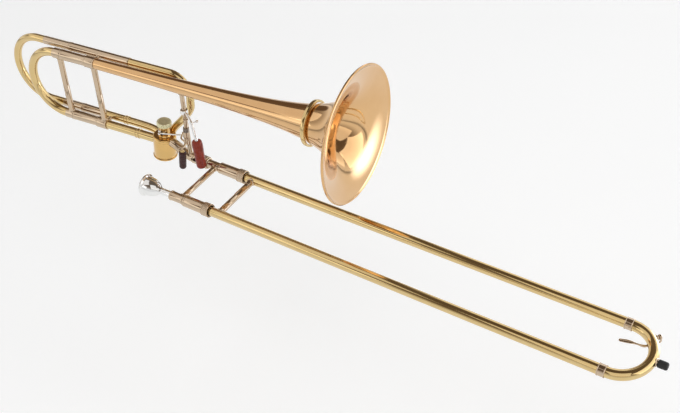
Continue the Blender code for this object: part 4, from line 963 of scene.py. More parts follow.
class TROMBONE_OT_water_key(bpy.types.Operator):
    """Makes the water key under the end bow"""
    bl_idname = "trombone.water_key"
    bl_label = "Water key"

    def execute(self, context):
        m = slide_measures()
        turn = math.radians(48.0)
        way = math.atan2(math.sin(turn) * m.bow_depth, math.cos(turn) * m.spacing / 2.0)
        stand = Matrix.Translation(bow_point(m, turn)) @ Matrix.Rotation(way, 4, "Z")
        stand = stand @ quarter("X", 2.0)
        pin_at, wide, hole = 0.0125, 0.0090, 0.0026
        skin_at = m.outer_radius + SEAT
        top = skin_at + 0.0024
        nipple = solid("drain_nipple", mm(skin_at, hole, (-0.9, 1.9), (-0.2, 1.8), (0.8, 0.4))
                       + mm(top, hole, (0, 0), (0, -1.1), (-1.6, -1.1)), 40, 0.0001)
        fit(place(nipple, stand, along=X_AXIS), "nickel", "outer_slide", "water_key_nipple")
        self.saddle(m, stand, pin_at, wide)
        self.lever(stand, pin_at, wide)
        self.stopper(stand, pin_at, top, hole)
        return {"FINISHED"}

    @staticmethod
    def saddle(m, stand, pin_at, wide):
        plate = saddle_plate("key_saddle_plate", m.outer_radius, (-0.2, 5.0), (0.5, 5.0),
                             (1.0, 4.4), (1.2, 3.6))
        plate.data.transform(Matrix.Scale(1.42, 4, X_AXIS))
        fit(place(plate, stand @ quarter("Z")), "nickel", "outer_slide", "water_key_saddle")
        low, neck = m.outer_radius - 0.0010, pin_at - 0.0010
        ear = [(-0.0030, low), (0.0030, low), (0.0026, neck)]
        ear += arc((0.0, pin_at), 0.0026, -10.0, 190.0, 12) + [(-0.0026, neck)]
        for number, side in enumerate((-1.0, 1.0)):
            flat = slab("key_ear_%d" % number, ear, -0.0010, 0.0010)
            upright = stand @ Matrix.Translation((0.0, side * wide * 0.67, 0.0)) @ quarter("X")
            fit(place(flat, upright), "nickel", "outer_slide")

    @staticmethod
    def lever(stand, pin_at, wide):
        body = "water_key"
        pivot = (0.0, 0.0, pin_at)
        half = wide * 0.55 - SEAT
        pin = solid("key_pin_turned", mm(-wide, 0.0, (0, 1.0), (0.4, 1.2))
                    + mm(wide, 0.0, (-1.8, 1.2), (-1.8, 2.1), (-0.2, 1.9)), 28, 0.0001)
        fit(place(pin, stand, pivot, Y_AXIS), "nickel", body, "water_key_pin")
        hub = solid("key_hub", mm(-half, 0.0, (0, 2.4), (1.2, 2.6), (1.8, 2.2))
                    + mm(half, 0.0, (-1.8, 2.2), (-1.2, 2.6), (0, 2.4)), 36)
        fit(place(hub, stand, pivot, Y_AXIS), "nickel", body, "water_key_lever")
        route = smooth_route([(0.0, 0.0, 0.0), (-0.0090, -0.0005, -0.0011),
                              (-0.0175, -0.0048, -0.00374), (-0.0265, -0.0095, -0.00594),
                              (-0.0363, -0.0142, -0.00715)], 6)
        widths = curve_values([0.0013, 0.0020, 0.0014, 0.0034, 0.0030], 6)
        flats = curve_values([0.9, 0.95, 0.75, 0.34, 0.34], 6)
        route = [spot + Vector(pivot) for spot in route]
        fit(place(bar("key_finger_arm", route, widths, 24, flats), stand), "nickel", body)
        spring = coil("key_spring", 0.0031, 0.00035, 4.0, 0.0030)
        fit(place(spring, stand, (0.0, -0.0015, pin_at), Y_AXIS), "steel", body)

    @staticmethod
    def stopper(stand, pin_at, top, hole):
        body = "water_key"
        low = top + 0.0016 + 2.0 * SEAT
        elbow = low + 0.0010
        route = smooth_route([(0.0, 0.0, pin_at), (0.006, 0.0, pin_at + 0.0012),
                              (elbow, 0.0, pin_at - 0.0020), (elbow + 0.0012, 0.0, 0.0055),
                              (elbow, 0.0, 0.0)], 6)
        fit(place(bar("key_cup_arm", route, 0.00115, 16, 1.25), stand), "nickel", body)
        cup = solid("key_cup", mm(low, hole, (-1.0, 0.9), (-1.0, 1.2), (1.0, 1.3), (1.8, 0.7)), 36,
                    0.0002)
        fit(place(cup, stand, along=X_AXIS), "nickel", body)
        cork_piece = solid("key_cork_turned", [(top + SEAT, hole + 0.0007), (low, hole + 0.0008)],
                           36, 0.0003)
        fit(place(cork_piece, stand, along=X_AXIS), "cork", body, "water_key_cork")
        head = screw_head("key_screw", 0.0016, 0.0011, 0.0005)
        fit(place(head, stand, (low + 0.0016, 0.0, 0.0), X_AXIS), "steel", body)


# Bell section


def flare(sizes):
    """The bell's radius at a place along it, and the other way round, from one power law."""
    top = sizes.radius - sizes.bead
    pole = sizes.rim_place + FLARE_POLE

    def radius_at(place_along):
        return top * (FLARE_POLE / (pole - place_along)) ** FLARE_POWER

    def place_of(radius):
        return pole - FLARE_POLE * (top / radius) ** (1.0 / FLARE_POWER)

    return radius_at, place_of


class TROMBONE_OT_bell(bpy.types.Operator):
    """Makes the rose brass bell and the ring round its throat"""
    bl_idname = "trombone.bell"
    bl_label = "Bell"

    def execute(self, context):
        sizes = context.scene.trombone_bell
        radius_at, place_of = flare(sizes)
        stand = along_bell(sizes.height)
        tail, wall, rings = -0.1547, 0.0008, 88
        pole = sizes.rim_place + FLARE_POLE
        outer, inner = [], []
        for share in spread(0.0, 1.0, rings - 1):
            reach = (pole - tail) * (FLARE_POLE / (pole - tail)) ** share
            radius = radius_at(pole - reach)
            slope = math.atan(FLARE_POWER * radius / reach)
            outer.append((pole - reach, radius))
            inner.append((pole - reach + wall * math.sin(slope), radius - wall * math.cos(slope)))
        inner[0] = (tail, inner[0][1])
        rim = arc((sizes.rim_place, sizes.radius - sizes.bead), sizes.bead, 190.0, -60.0, 16)
        shell = turned("bell_shell", outer[:-1] + rim + list(reversed(inner[:-1])), 160, 0.0)
        shell.data.shade_smooth()
        rim_edge = sizes.rim_place - sizes.bead * 0.4
        for face in shell.data.polygons:
            middle = face.center
            if middle.z > rim_edge and middle.xy.length > sizes.radius - 1.3 * sizes.bead:
                face.material_index = 1
        fit(place(shell, stand), "rose", "bell_section", "bell")
        shell.data.materials.append(MADE["rim_brown"])
        self.ring(place_of, stand)
        return {"FINISHED"}

    @staticmethod
    def ring(place_of, stand):
        bore, half, thick, squareness = 0.0325, 0.0035, 0.0021, 0.62
        seat = place_of(bore - 4.0 * SEAT)
        outline = []
        for t in around(28):
            a, b = [math.copysign(abs(v) ** squareness, v) for v in (math.cos(t), math.sin(t))]
            outline.append((seat - half + half * a, bore + thick + thick * b))
        hoop = turned("throat_hoop", outline, 128, 0.0)
        hoop.data.shade_smooth()
        fit(place(hoop, stand), "gold", "bell_section", "throat_ring")


def half_bow(offset, bow_x, top, bottom, top_end, bottom_end):
    """A bow that opens forward, in a plane of the bell section at one offset."""
    turn = arc((bow_x, (top + bottom) / 2.0), (top - bottom) / 2.0, 90.0, 270.0, 56)
    kept = [(top_end, top)]
    for point in turn + [(bottom_end, bottom)]:
        if math.dist(point, kept[-1]) > 0.0005:
            kept.append(point)
    return [Vector((a, offset, b)) for a, b in kept]


class TROMBONE_OT_tuning_slide(bpy.types.Operator):
    """Makes the main tuning slide and the sleeves it runs in"""
    bl_idname = "trombone.tuning_slide"
    bl_label = "Main tuning slide"

    def execute(self, context):
        sizes = context.scene.trombone_bell
        heights = {"upper": sizes.height, "lower": sizes.lower_height}
        end = TUNING_BOW_X + 0.001
        path = half_bow(0.0, TUNING_BOW_X, sizes.height, sizes.lower_height, end, end)
        bow = bent("tuning_bow_tube", path, MAIN_TUBE, MAIN_BORE, 56)
        fit(place(bow, bell_frame()), "gold", "tuning_slide", "tuning_bow")
        split = TUNING_BOW_X + 0.018
        for side, wall in SLEEVE_WALLS.items():
            stand = along_bell(heights[side])
            skin_at = SLEEVE_BORE + wall
            leg = turned("tuning_leg_tube_" + side, [(end + SEAT, 0.0067)] + [
                (end + SEAT, skin_at - 0.0003), (end + 0.0009, skin_at)] + mm(
                split, skin_at, (-3.0, 0), (-2.7, 0.3), (-0.3, 0.3)) + [
                (split - SEAT, 0.0073), (LEG_END_X, 0.0073), (LEG_END_X, 0.0067)], edge=0.00015)
            fit(place(leg, stand), "nickel", "tuning_slide", "tuning_leg_" + side)
            tube = turned("main_sleeve_" + side, [(split, SLEEVE_BORE)] + mm(
                split, skin_at, (0, 0.3), (2.4, 0.3), (2.7, 0)) + mm(
                SLEEVE_END_X, skin_at, (-21.0, 0), (-20.5, 1.0), (-18.8, 1.0), (-18.5, 0.8),
                (-18.1, 1.0), (-2.9, 1.0), (-2.5, 0.8), (-2.2, 1.0), (0, 1.0)) + [
                (SLEEVE_END_X, SLEEVE_BORE)], edge=0.00015)
            fit(place(tube, stand), "nickel", "bell_section", "tuning_sleeve_" + side)
        span = sizes.height - sizes.lower_height
        for name, start, step, body, node in (
                ("tuning_brace_bar", TUNING_BOW_X + 0.0115, 0.0, "tuning_slide", "tuning_brace"),
                ("fixed_brace_bar", FIXED_BRACE_X, 0.0010, "bell_section", "fixed_brace")):
            lower, upper = [SLEEVE_BORE + SLEEVE_WALLS[side] + step for side in ("lower", "upper")]
            piece = brace(name, span, lower, upper, 0.0051, 0.0062)
            foot = (start, 0.0, sizes.lower_height)
            fit(place(piece, bell_frame(), foot), "nickel", body, node)
        return {"FINISHED"}


class TROMBONE_OT_valve_loop(bpy.types.Operator):
    """Makes the valve's tuning loop, its sleeves and the stubs that hold them"""
    bl_idname = "trombone.valve_loop"
    bl_label = "Valve loop"

    def execute(self, context):
        sizes = context.scene.trombone_bell
        offset = sizes.loop_offset
        top, bottom = sizes.height + LOOP_OVER, sizes.lower_height + LOOP_UNDER
        ends = {"upper": (top, LOOP_BOW_X + 0.016, LOOP_END_X["upper"]),
                "lower": (bottom, LOOP_BOW_X + 0.030, LOOP_END_X["lower"])}
        path = half_bow(offset, LOOP_BOW_X, top, bottom, ends["upper"][1], ends["lower"][1])
        bow = bent("loop_bow_tube", path, LOOP_TUBE, LOOP_BORE, 56)
        fit(place(bow, bell_frame()), "gold", "loop_slide", "loop_bow")
        for side, (height, start, high) in ends.items():
            stand = along_bell(height, offset)
            leg = turned("loop_leg_tube_" + side, mm(
                start + SEAT, 0.0, (0, 5.95), (0, 7.1), (0.3, 7.4)) + mm(
                LOOP_SPLIT_X, 0.0, (-2.2, 7.4), (-2.0, 7.7), (-0.3, 7.7), (-0.3, 6.45)) + [
                (LOOP_LEG_END_X, 0.00645), (LOOP_LEG_END_X, 0.00595)], edge=0.00015)
            fit(place(leg, stand), "nickel", "loop_slide", "loop_leg_" + side)
            tube = turned("loop_sleeve_tube_" + side, mm(
                LOOP_SPLIT_X, 0.0, (0, 6.7), (0, 7.8), (3.0, 7.8), (3.3, 7.4)) + mm(
                high, 0.0, (-2.4, 7.4), (-2.2, 7.6), (0, 7.6), (0, 6.7)), edge=0.00015)
            fit(place(tube, stand), "nickel", "bell_section", "loop_sleeve_" + side)
        for side, main, loop, reach in (("upper", sizes.height, top, 0.0074),
                                        ("lower", sizes.lower_height, bottom, LOOP_TUBE)):
            along = Vector((0.0, offset, loop - main))
            skin_at = SLEEVE_BORE + 0.0010 + SLEEVE_WALLS[side]
            stub = solid("loop_stub_" + side, mm(
                skin_at, 0.0, (-0.6, 4.2), (0.6, 3.8), (1.2, 3.0)) + mm(
                along.length - reach, 0.0, (-1.0, 3.0), (-0.4, 3.8), (0.6, 4.2)), 40)
            fit(place(stub, bell_frame(), (FIXED_BRACE_X, 0.0, main), along), "nickel",
                "bell_section", "loop_brace_" + side)
        return {"FINISHED"}


def upper_loop_path(sizes):
    """Forward beside the bell's taper, round the bend and back down to the valve's far side."""
    reach = 0.035
    top = sizes.height + LOOP_OVER
    turns = arc((-0.020, top - reach), reach, 90.0, -14.0, 36)
    bend = [Vector((a, sizes.loop_offset - 0.001 * step / 36, b))
            for step, (a, b) in enumerate(turns)]
    port = VALVE_PLACE + Vector((0.0038, 0.0120, 0.0270))
    chord = port - bend[-1]
    down = [bend[-1]]
    for along, ahead, aside in ((0.1808, 0.0746, 0.0036), (0.4480, 0.0641, 0.0099),
                                (0.7412, -0.0009, 0.0297), (0.8872, -0.0164, 0.0396)):
        down.append(bend[-1] + chord * along + Vector((ahead, aside, 0.0)) * chord.length)
    start = Vector((LOOP_END_X["upper"] + SEAT, sizes.loop_offset, top))
    return [start] + bend + smooth_route(down + [port], 8)[1:]


class TROMBONE_OT_valve_tubes(bpy.types.Operator):
    """Makes the gold tubes that run to the valve, and the neckpipe"""
    bl_idname = "trombone.valve_tubes"
    bl_label = "Tubes to the valve"

    def execute(self, context):
        sizes = context.scene.trombone_bell
        low = sizes.lower_height
        offset = sizes.loop_offset
        main = smooth_route([(SLEEVE_END_X + SEAT, 0.0, low), (-0.128, 0.0, low),
                             (-0.100, 0.0, low), (-0.075, 0.0004, low - 0.0004),
                             (-0.045, 0.0020, low - 0.0020)], 10)
        self.run("main_tube_lower", main, MAIN_TUBE, MAIN_BORE, "gold", "main_lower_tube")
        low += LOOP_UNDER
        back = smooth_route([(LOOP_END_X["lower"] + SEAT, offset, low), (-0.140, offset, low),
                             (-0.100, offset, low), (-0.082, offset - 0.0002, low - 0.0006),
                             (-0.068, offset - 0.0015, low - 0.0016),
                             (-0.050, offset - 0.0060, low - 0.0035)], 8)
        self.run("loop_tube_lower", back, LOOP_TUBE, LOOP_BORE, "gold", "loop_lower_tube")
        self.run("loop_tube_upper", upper_loop_path(sizes), LOOP_TUBE, LOOP_BORE, "gold",
                 "loop_upper_tube")
        self.knuckle("loop_knuckle", back, 10, LOOP_TUBE)
        self.knuckle("main_knuckle", main, 24, MAIN_TUBE)
        rear = slide_measures().bell_rear - SEAT
        to_bell = bell_frame().inverted()
        ends = [to_bell @ Vector((rear - back_by, 0.0, 0.0)) for back_by in (0.0, 0.006)]
        path = ends[:1] + smooth_route([ends[1], (0.0045, -0.0003, 0.0040),
                                        (-0.0070, 0.0008, 0.0098), (-0.0180, 0.0022, 0.0136),
                                        (-0.0330, 0.0045, 0.0150)], 8)
        self.run("neckpipe_tube", path, 0.0080, 0.0071, "nickel", "neckpipe")
        return {"FINISHED"}

    @staticmethod
    def run(name, path, outer, bore, finish, node):
        """A bent tube, trimmed where it meets the drum's wall."""
        piece = place(bent(name, path, outer, bore), bell_frame())
        settle(piece)
        sizes = bpy.context.scene.trombone_valve
        drum, tall = sizes.drum_radius - DRUM_WALL * 0.4, sizes.drum_height
        cutter = solid("drum_trim", [(-0.004, drum), (tall, drum)], 96, 0.0)
        cutter.data.transform(valve_frame())
        fit(cut(piece, cutter), finish, "bell_section", node)

    @staticmethod
    def knuckle(name, path, number, tube):
        """A short ferrule on a tube."""
        bore, band, rim = tube - 0.0003, tube + 0.0003, tube + 0.0004
        outline = [(-0.0035, bore), (-0.0035, rim)] + bead(-0.0034, band, 0.0006)
        outline += [(0.0, rim)] + bead(0.0022, band, 0.0006) + [(0.0035, rim), (0.0035, bore)]
        ring = turned(name, outline, 56, 0.0)
        fit(place(ring, bell_frame(), path[number], path[number + 1] - path[number]), "gold",
            "bell_section")


class TROMBONE_OT_receiver(bpy.types.Operator):
    """Makes the bell section's receiver and its brace"""
    bl_idname = "trombone.receiver"
    bl_label = "Slide receiver and bell brace"

    def execute(self, context):
        sizes = context.scene.trombone_bell
        m = slide_measures()
        rear, front = m.bell_rear, m.bell_front
        bore = TENON_RADIUS + SEAT
        skin_at = bore + RECEIVER_WALL
        step = m.tenon_rear - SEAT
        receiver = turned("receiver_collar", [(rear, bore - 0.0009)] + mm(
            rear, skin_at, (0, -0.4), (0.4, 0), (2.8, 0), (3.1, -0.3), (3.6, -0.3), (3.9, 0)) + [
            (front, skin_at), (front, bore), (step, bore), (step, bore - 0.0009)], edge=0.00015)
        fit(place(receiver, along_slide(0.0)), "nickel", "bell_section", "slide_receiver")
        radius_at, _ = flare(sizes)
        stem = radius_at(BELL_BRACE_SPOT.x)
        piece = brace("bell_brace_bar", sizes.height - 0.0005, 0.0080, stem, 0.0038, 0.0054)
        fit(place(piece, bell_frame(), BELL_BRACE_SPOT), "nickel", "bell_section", "bell_brace")
        return {"FINISHED"}


# Valve, trigger and hand rest


class TROMBONE_OT_valve(bpy.types.Operator):
    """Makes the rotary valve: drum, caps, neck, rotor, stop arm and link"""
    bl_idname = "trombone.valve"
    bl_label = "Rotary valve"

    def execute(self, context):
        sizes = context.scene.trombone_valve
        stand = valve_frame()
        wide, tall = sizes.drum_radius, sizes.drum_height
        bore = wide - DRUM_WALL
        drum = turned("valve_drum", [(0.0, bore)] + mm(
            0.0, wide, (0, 0), (1.6, 0), (1.8, -0.2), (2.2, -0.2), (2.4, 0)) + mm(
            tall, wide, (-6.0, 0), (-5.8, -0.15), (-5.5, -0.15), (-5.3, 0)) + arc(
            (tall - 0.0026, wide - 0.0026), 0.0026, 90.0, 0.0, 8) + mm(
            tall, 0.0, (0, 3.2), (-2.8, 3.2)) + [(tall - 0.0028, bore)], 112, 0.00015)
        fit(place(drum, stand), "valve_gold", "bell_section", "valve_casing")
        self.caps(sizes, stand, bore)
        self.neck(sizes, stand)
        self.rotor(sizes, stand, bore)
        self.arm(stand)
        self.link(stand)
        return {"FINISHED"}

    @staticmethod
    def caps(sizes, stand, bore):
        rim = sizes.drum_radius + 0.0010
        low = -0.0030
        plug = bore - SEAT
        outline = [(low + 0.0004, 0.0), (low + 0.0003, rim * 0.45), (low, rim * 0.52),
                   (low, rim - 0.0012)]
        outline += arc((low + 0.0010, rim - 0.0010), 0.0010, 180.0, 90.0, 5)
        outline += [(-0.0007, rim), (-SEAT, rim - 0.0004), (-SEAT, plug), (0.0029, plug),
                    (0.0029, 0.0)]
        cap = turned("bottom_cap_turned", outline, 112, 0.0002)
        fit(place(cap, stand), "valve_gold", "bell_section", "valve_bottom_cap")
        base = sizes.drum_height + NECK_HEIGHT + 2.0 * SEAT
        top = base + 0.0080
        wide = sizes.cap_radius
        plug = sizes.neck_radius - 0.0020 - SEAT
        outline = [(base - 0.0030, plug), (base, plug)] + mm(base, wide, (0, -1.0), (0.6, -0.3))
        outline += teeth_band(base + 0.0009, top - 0.0012, wide)
        outline += mm(top, wide, (-0.7, -0.7), (0, -1.7), (0, -3.0), (-0.9, -4.2))
        outline += mm(top, 0.0, (-0.9, 3.8), (-0.4, 3.0))
        cap = solid("valve_cap_knurled", outline, 240, 0.0)
        knurl(cap, base + 0.0007, top - 0.0010, 20, 0.0014)
        # The cap's finish is brass painted pale, a painted sheen for the knurl's reflections
        fit(place(cap, stand), "cap_gold_painted_sheen", "bell_section", "valve_cap")

    @staticmethod
    def neck(sizes, stand):
        """The neck, with the window that the stop arm swings in."""
        low = sizes.drum_height + SEAT
        wide = sizes.neck_radius
        neck = turned("neck_turned", mm(low, wide, (0, -2.0), (0, 1.2), (0.8, 1.2), (1.6, 0.2),
                                        (2.4, 0)) + mm(
            low + NECK_HEIGHT, wide, (-1.4, 0), (-1.2, 0.4), (0, 0.4), (0, -2.0)), 96, 0.00015)
        first = math.radians(-90.0) - 0.28
        reach = wide * 1.6
        flat = [(0.0, 0.0)] + [(reach * math.cos(t), reach * math.sin(t)) for t in
                               spread(first, first + math.radians(44.7) + 0.56, 16)]
        window = skin("neck_window", [[Vector((a, b, height)) for a, b in flat]
                                      for height in (ARM_HEIGHT - 0.0039, ARM_HEIGHT + 0.0039)])
        fit(place(cut(neck, window), stand), "valve_gold", "bell_section", "valve_neck")

    @staticmethod
    def rotor(sizes, stand, bore):
        plug = bore - SEAT
        top = sizes.drum_height - 0.0028 - SEAT
        tip = ARM_HEIGHT + 0.0057
        body = solid("rotor_plug", [(0.0032, plug), (top, plug), (top, 0.0030),
                                    (tip - 0.0004, 0.0030), (tip, 0.0026)], 80, 0.0002)
        fit(place(body, stand), "nickel", "rotor", "valve_rotor")
        head = screw_head("arm_screw", 0.0044, 0.0012, 0.0007)
        fit(place(head, stand, (0.0, 0.0, tip + 0.0001)), "nickel", "rotor")

    @staticmethod
    def arm(stand):
        hub = turned("arm_hub", mm(ARM_HEIGHT, 0.0, (-1.7, 3.3), (-1.7, 5.6), (1.7, 5.6),
                                   (1.7, 3.3)), 56)
        fit(place(hub, stand), "nickel", "rotor", "stop_arm")
        route = [Vector((0.0, -reach, ARM_HEIGHT)) for reach in (0.0046, 0.0075, 0.0110, 0.0135)]
        piece = bar("arm_bar", route, [0.0015, 0.0013, 0.0012, 0.0013])
        fit(place(piece, stand), "nickel", "rotor")
        tall = LINK_LIFT + 0.0014 + 0.0022
        pin = solid("arm_pin", [(0.0, 0.0008), (tall, 0.0008)], 20)
        fit(place(pin, stand, BALL_SPOT), "nickel", "rotor")
        knob_at = BALL_SPOT + Vector((0.0, 0.0, tall))
        fit(place(ball("arm_ball", 0.0022), stand, knob_at), "silver", "rotor")

    @staticmethod
    def link(stand):
        lift = Vector((0.0, 0.0, LINK_LIFT))
        start = CRANK_SPOT + lift
        stop = BALL_SPOT + Vector((0.00018, -0.00075, 0.0)) + lift
        path = [start.lerp(stop, share) for share in
                (0.07, 0.12, 0.13, 0.19, 0.20, 0.5, 0.80, 0.81, 0.87, 0.88, 0.93)]
        half = [0.0013, 0.0013, 0.0018, 0.0018, 0.0014]
        rod = bar("link_rod", path, half + [0.0013] + half[::-1], 20)
        fit(place(rod, stand), "silver", "valve_link", "valve_link")
        for number, (spot, bore) in enumerate(((start, 0.0013), (stop, 0.0018))):
            eye = sleeve("link_eye_%d" % number, -0.0014, 0.0014, 0.0027, bore, 36, 0.0004)
            fit(place(eye, stand, spot), "silver", "valve_link")


class TROMBONE_OT_trigger(bpy.types.Operator):
    """Makes the trigger: its bearing, shaft, crank, thumb piece and spring"""
    bl_idname = "trombone.trigger"
    bl_label = "Trigger"

    def execute(self, context):
        stand = valve_frame()
        self.bearing(stand)
        self.lever(stand)
        self.thumb(stand, context.scene.trombone_valve.thumb_radius)
        return {"FINISHED"}

    @staticmethod
    def bearing(stand):
        low, high, outer, bore = 0.0680, 0.1060, 0.0036, 0.0021
        waist = outer - 0.0003
        outline = [(low, bore), (low, outer)] + bead(low + 0.0001, outer, 0.0009)
        outline += [(low + 0.0030, waist), (high - 0.0030, waist)]
        outline += bead(high - 0.0019, outer, 0.0009) + [(high, outer), (high, bore)]
        tube = turned("bearing_tube", outline, 48, 0.0)
        fit(place(tube, stand, (*TRIGGER_AXLE, 0.0)), "nickel", "bell_section", "lever_bearing")
        to_bell = bell_frame().inverted() @ stand
        for number, height in enumerate((low + 0.006, high - 0.006)):
            start = to_bell @ Vector((*TRIGGER_AXLE, height))
            stop = Vector((BELL_BRACE_SPOT.x, BELL_BRACE_SPOT.y, start.z))
            way = (stop - start).normalized()
            path = [start + way * 0.0030, start + way * 0.0045, start.lerp(stop, 0.5),
                    stop - way * 0.0050, stop - way * 0.0020]
            arm = bar("bearing_arm_%d" % number, path, [0.0023, 0.0018, 0.0017, 0.0018, 0.0026])
            fit(place(arm, bell_frame()), "nickel", "bell_section")
        spring = coil("trigger_spring", 0.0044, 0.00042, 7.0, 0.0085)
        fit(place(spring, stand, (*TRIGGER_AXLE, low + 0.0115)), "steel", "bell_section")

    @staticmethod
    def lever(stand):
        low, high = 0.0540, 0.1082
        shaft = solid("trigger_shaft", mm(
            low, 0.0, (0, 3.4), (0.6, 4.0), (5.0, 4.0), (5.6, 3.4), (12.4, 3.4), (12.6, 4.2),
            (13.7, 4.2), (13.7, 1.9)) + mm(
            high, 0.0, (-1.8, 1.9), (-1.8, 3.1), (-0.4, 2.9), (0, 2.2)), 48, 0.0002)
        fit(place(shaft, stand, (*TRIGGER_AXLE, 0.0)), "nickel", "trigger", "trigger_lever")
        axle = Vector((*TRIGGER_AXLE, low + 0.0030))
        top = ARM_HEIGHT + LINK_LIFT + 0.0014 + 0.0032
        end = Vector((CRANK_SPOT.x, CRANK_SPOT.y, top))
        elbow = axle + Vector((-0.47, 0.17, 0.0)) * CRANK_REACH
        route = smooth_route([axle, elbow, end + (end - elbow).normalized() * 0.0010], 8)
        fit(place(bar("trigger_crank", route, 0.0016), stand), "nickel", "trigger")
        pin = solid("crank_pin", [(ARM_HEIGHT + LINK_LIFT - 0.0022, 0.0009)]
                    + mm(top, 0.0, (0, 0.9), (0, 2.2), (1.2, 2.2)), 28, 0.0002)
        fit(place(pin, stand, (CRANK_SPOT.x, CRANK_SPOT.y, 0.0)), "nickel", "trigger")
        foot = THUMB_SPOT + Vector((0.0, 0.0, THUMB_LENGTH))
        route = smooth_route([axle, axle + Vector((0.0012, -0.0070, -0.0010)),
                              foot + Vector((0.0, 0.0012, 0.0060)),
                              foot + Vector((0.0, 0.0, -0.0010)),
                              foot + Vector((0.0, 0.0, -0.0080))], 8)
        widths = curve_values([0.0024, 0.0018, 0.0019, 0.0017, 0.0017], 8)
        fit(place(bar("trigger_arm", route, widths), stand), "nickel", "trigger")

    @staticmethod
    def thumb(stand, wide):
        tall = THUMB_LENGTH
        soft, round_edge = wide * 0.9, 0.0024
        outline = [(0.0, 0.0)] + arc((soft, wide - soft), soft, 180.0, 90.0, 12)
        outline += [(tall * 0.55, wide + 0.0001)]
        outline += arc((tall - round_edge, wide - round_edge), round_edge, 90.0, 12.0, 6)
        outline += [(tall, 0.0026), (tall - 0.0010, 0.0)]
        capsule = turned("thumb_capsule", outline, 64, 0.0)
        capsule.data.shade_smooth()
        fit(place(capsule, stand, THUMB_SPOT), "dark_wood", "trigger", "thumb_piece")
        collar = solid("thumb_collar", [(tall - 0.0012, 0.0034)]
                       + bead(tall - 0.0002, 0.0030, 0.0007)
                       + [(tall + 0.0026, 0.0026), (tall + 0.0034, 0.0019)], 40, 0.0)
        fit(place(collar, stand, THUMB_SPOT), "gold", "trigger")
        stem = bar("thumb_screw_stem", [Vector((-0.0010, 0.0, 0.0)), Vector((-0.0050, 0.0, 0.0))],
                   0.0009, 16)
        head_at = THUMB_SPOT + Vector((0.0, 0.0, tall + 0.0038))
        fit(place(stem, stand, head_at), "nickel", "trigger")
        head = knurled_ring("thumb_screw_head", 0.0044, 0.0074, 0.0023, 0.0005, 12, 0.0003, 900.0,
                            0.0006)
        fit(place(head, stand, head_at, -X_AXIS), "nickel", "trigger")


class TROMBONE_OT_hand_rest(bpy.types.Operator):
    """Makes the hand rest: clamp, rod, wooden grip and screw"""
    bl_idname = "trombone.hand_rest"
    bl_label = "Hand rest"

    def execute(self, context):
        stand = bell_frame()
        height, half, bore = 0.0886, 0.00375, 0.0041
        clamp = turned("rest_clamp", mm(height - half, bore, (0, 0), (0, 1.6), (0.6, 2.4))
                       + mm(height + half, bore, (-0.6, 2.4), (0, 1.6), (0, 0)), 56)
        fit(place(clamp, stand, BELL_BRACE_SPOT), "silver", "hand_rest", "hand_rest_rod")
        top = Vector((0.0512, -0.025, 0.0575))
        foot = Vector((0.0545, -0.025, 0.0055))
        shoulder = Vector((0.0396, -0.0165, 0.0824))
        route = smooth_route([(0.0196, -0.0035, height), (0.0265, -0.0085, height + 0.0012),
                              shoulder, (0.0468, -0.0222, 0.0690), top, top.lerp(foot, 0.17)], 8)
        widths = curve_values([0.0020, 0.0020, 0.0026, 0.0028, 0.0028, 0.0028], 8)
        fit(place(bar("rest_rod", route, widths, 28), stand), "silver", "hand_rest")
        fit(place(ball("rest_boss", 0.0031), stand, shoulder), "silver", "hand_rest")
        self.grip(stand, top, foot - top, context.scene.trombone_valve.grip_radius)
        screw = solid("rest_screw_turned", mm(0.0033, 0.0, (-0.6, 1.0), (3.5, 1.0), (3.8, 1.9),
                                              (4.3, 2.1), (7.8, 2.1), (8.5, 1.4)), 36, 0.0002)
        fit(place(screw, stand, shoulder, (0.545, 0.84, 0.0)), "silver", "hand_rest",
            "hand_rest_screw")
        return {"FINISHED"}

    @staticmethod
    def grip(stand, top, way, wide):
        tall = way.length
        soft, round_edge = 0.0050, 0.0030
        body = smooth_outline([(height, wide + more) for height, more in (
            (0.0030, -0.0002), (0.0090, 0.0003), (tall * 0.32, 0.0), (tall * 0.48, -0.0004),
            (tall * 0.64, -0.0003), (tall - soft, -0.0004))], 6)
        outline = [(0.0, 0.0), (0.0, 0.0023), (0.0002, wide - 0.0034)]
        outline += arc((round_edge, wide - 0.0034), round_edge, 178.0, 95.0, 8) + body[1:]
        outline += arc((tall - soft, wide - 0.0004 - soft), soft, 84.0, 6.0, 10) + [(tall, 0.0)]
        grip = turned("grip_turned", outline, 80, 0.0)
        grip.data.shade_smooth()
        fit(place(grip, stand, top, way), "red_wood", "hand_rest", "hand_rest_grip")
        collar = solid("grip_collar", mm(0.0, 0.0, (-2.2, 2.2), (-1.8, 2.6), (-0.2, 3.0),
                                         (0.3, 3.0)), 40, 0.0)
        fit(place(collar, stand, top, way), "silver", "hand_rest")


# Studio

STUDIO_MIDDLE = Vector((0.2, 0.0, 0.1))
LAMP_DISTANCE = 5.0


def card(name, centre, along, across, size):
    """A flat sheet in the studio: its middle, two directions in it and its two sizes."""
    shape = bmesh.new()
    a, b = Vector(along).normalized() * size[0] / 2.0, Vector(across).normalized() * size[1] / 2.0
    spots = [Vector(centre) + a * i + b * j for i, j in ((-1, -1), (1, -1), (1, 1), (-1, 1))]
    shape.faces.new([shape.verts.new(spot) for spot in spots])
    piece = meshed(name, shape)
    return piece


def soft_box(name, turn, lift, size, level):
    """An area lamp that looks at the instrument from a compass turn and a lift."""
    lamp = bpy.data.lights.new(name, "AREA")
    lamp.shape = "RECTANGLE"
    lamp.size, lamp.size_y = size
    lamp.energy = level * math.pi * size[0] * size[1]
    thing = added(name, lamp)
    turn, lift = math.radians(turn), math.radians(lift)
    flat = math.cos(lift)
    way = Vector((math.cos(turn) * flat, math.sin(turn) * flat, math.sin(lift)))
    thing.location = STUDIO_MIDDLE + way * LAMP_DISTANCE
    thing.rotation_euler = way.to_track_quat("Z", "Y").to_euler()
    thing.visible_camera = False
    return thing


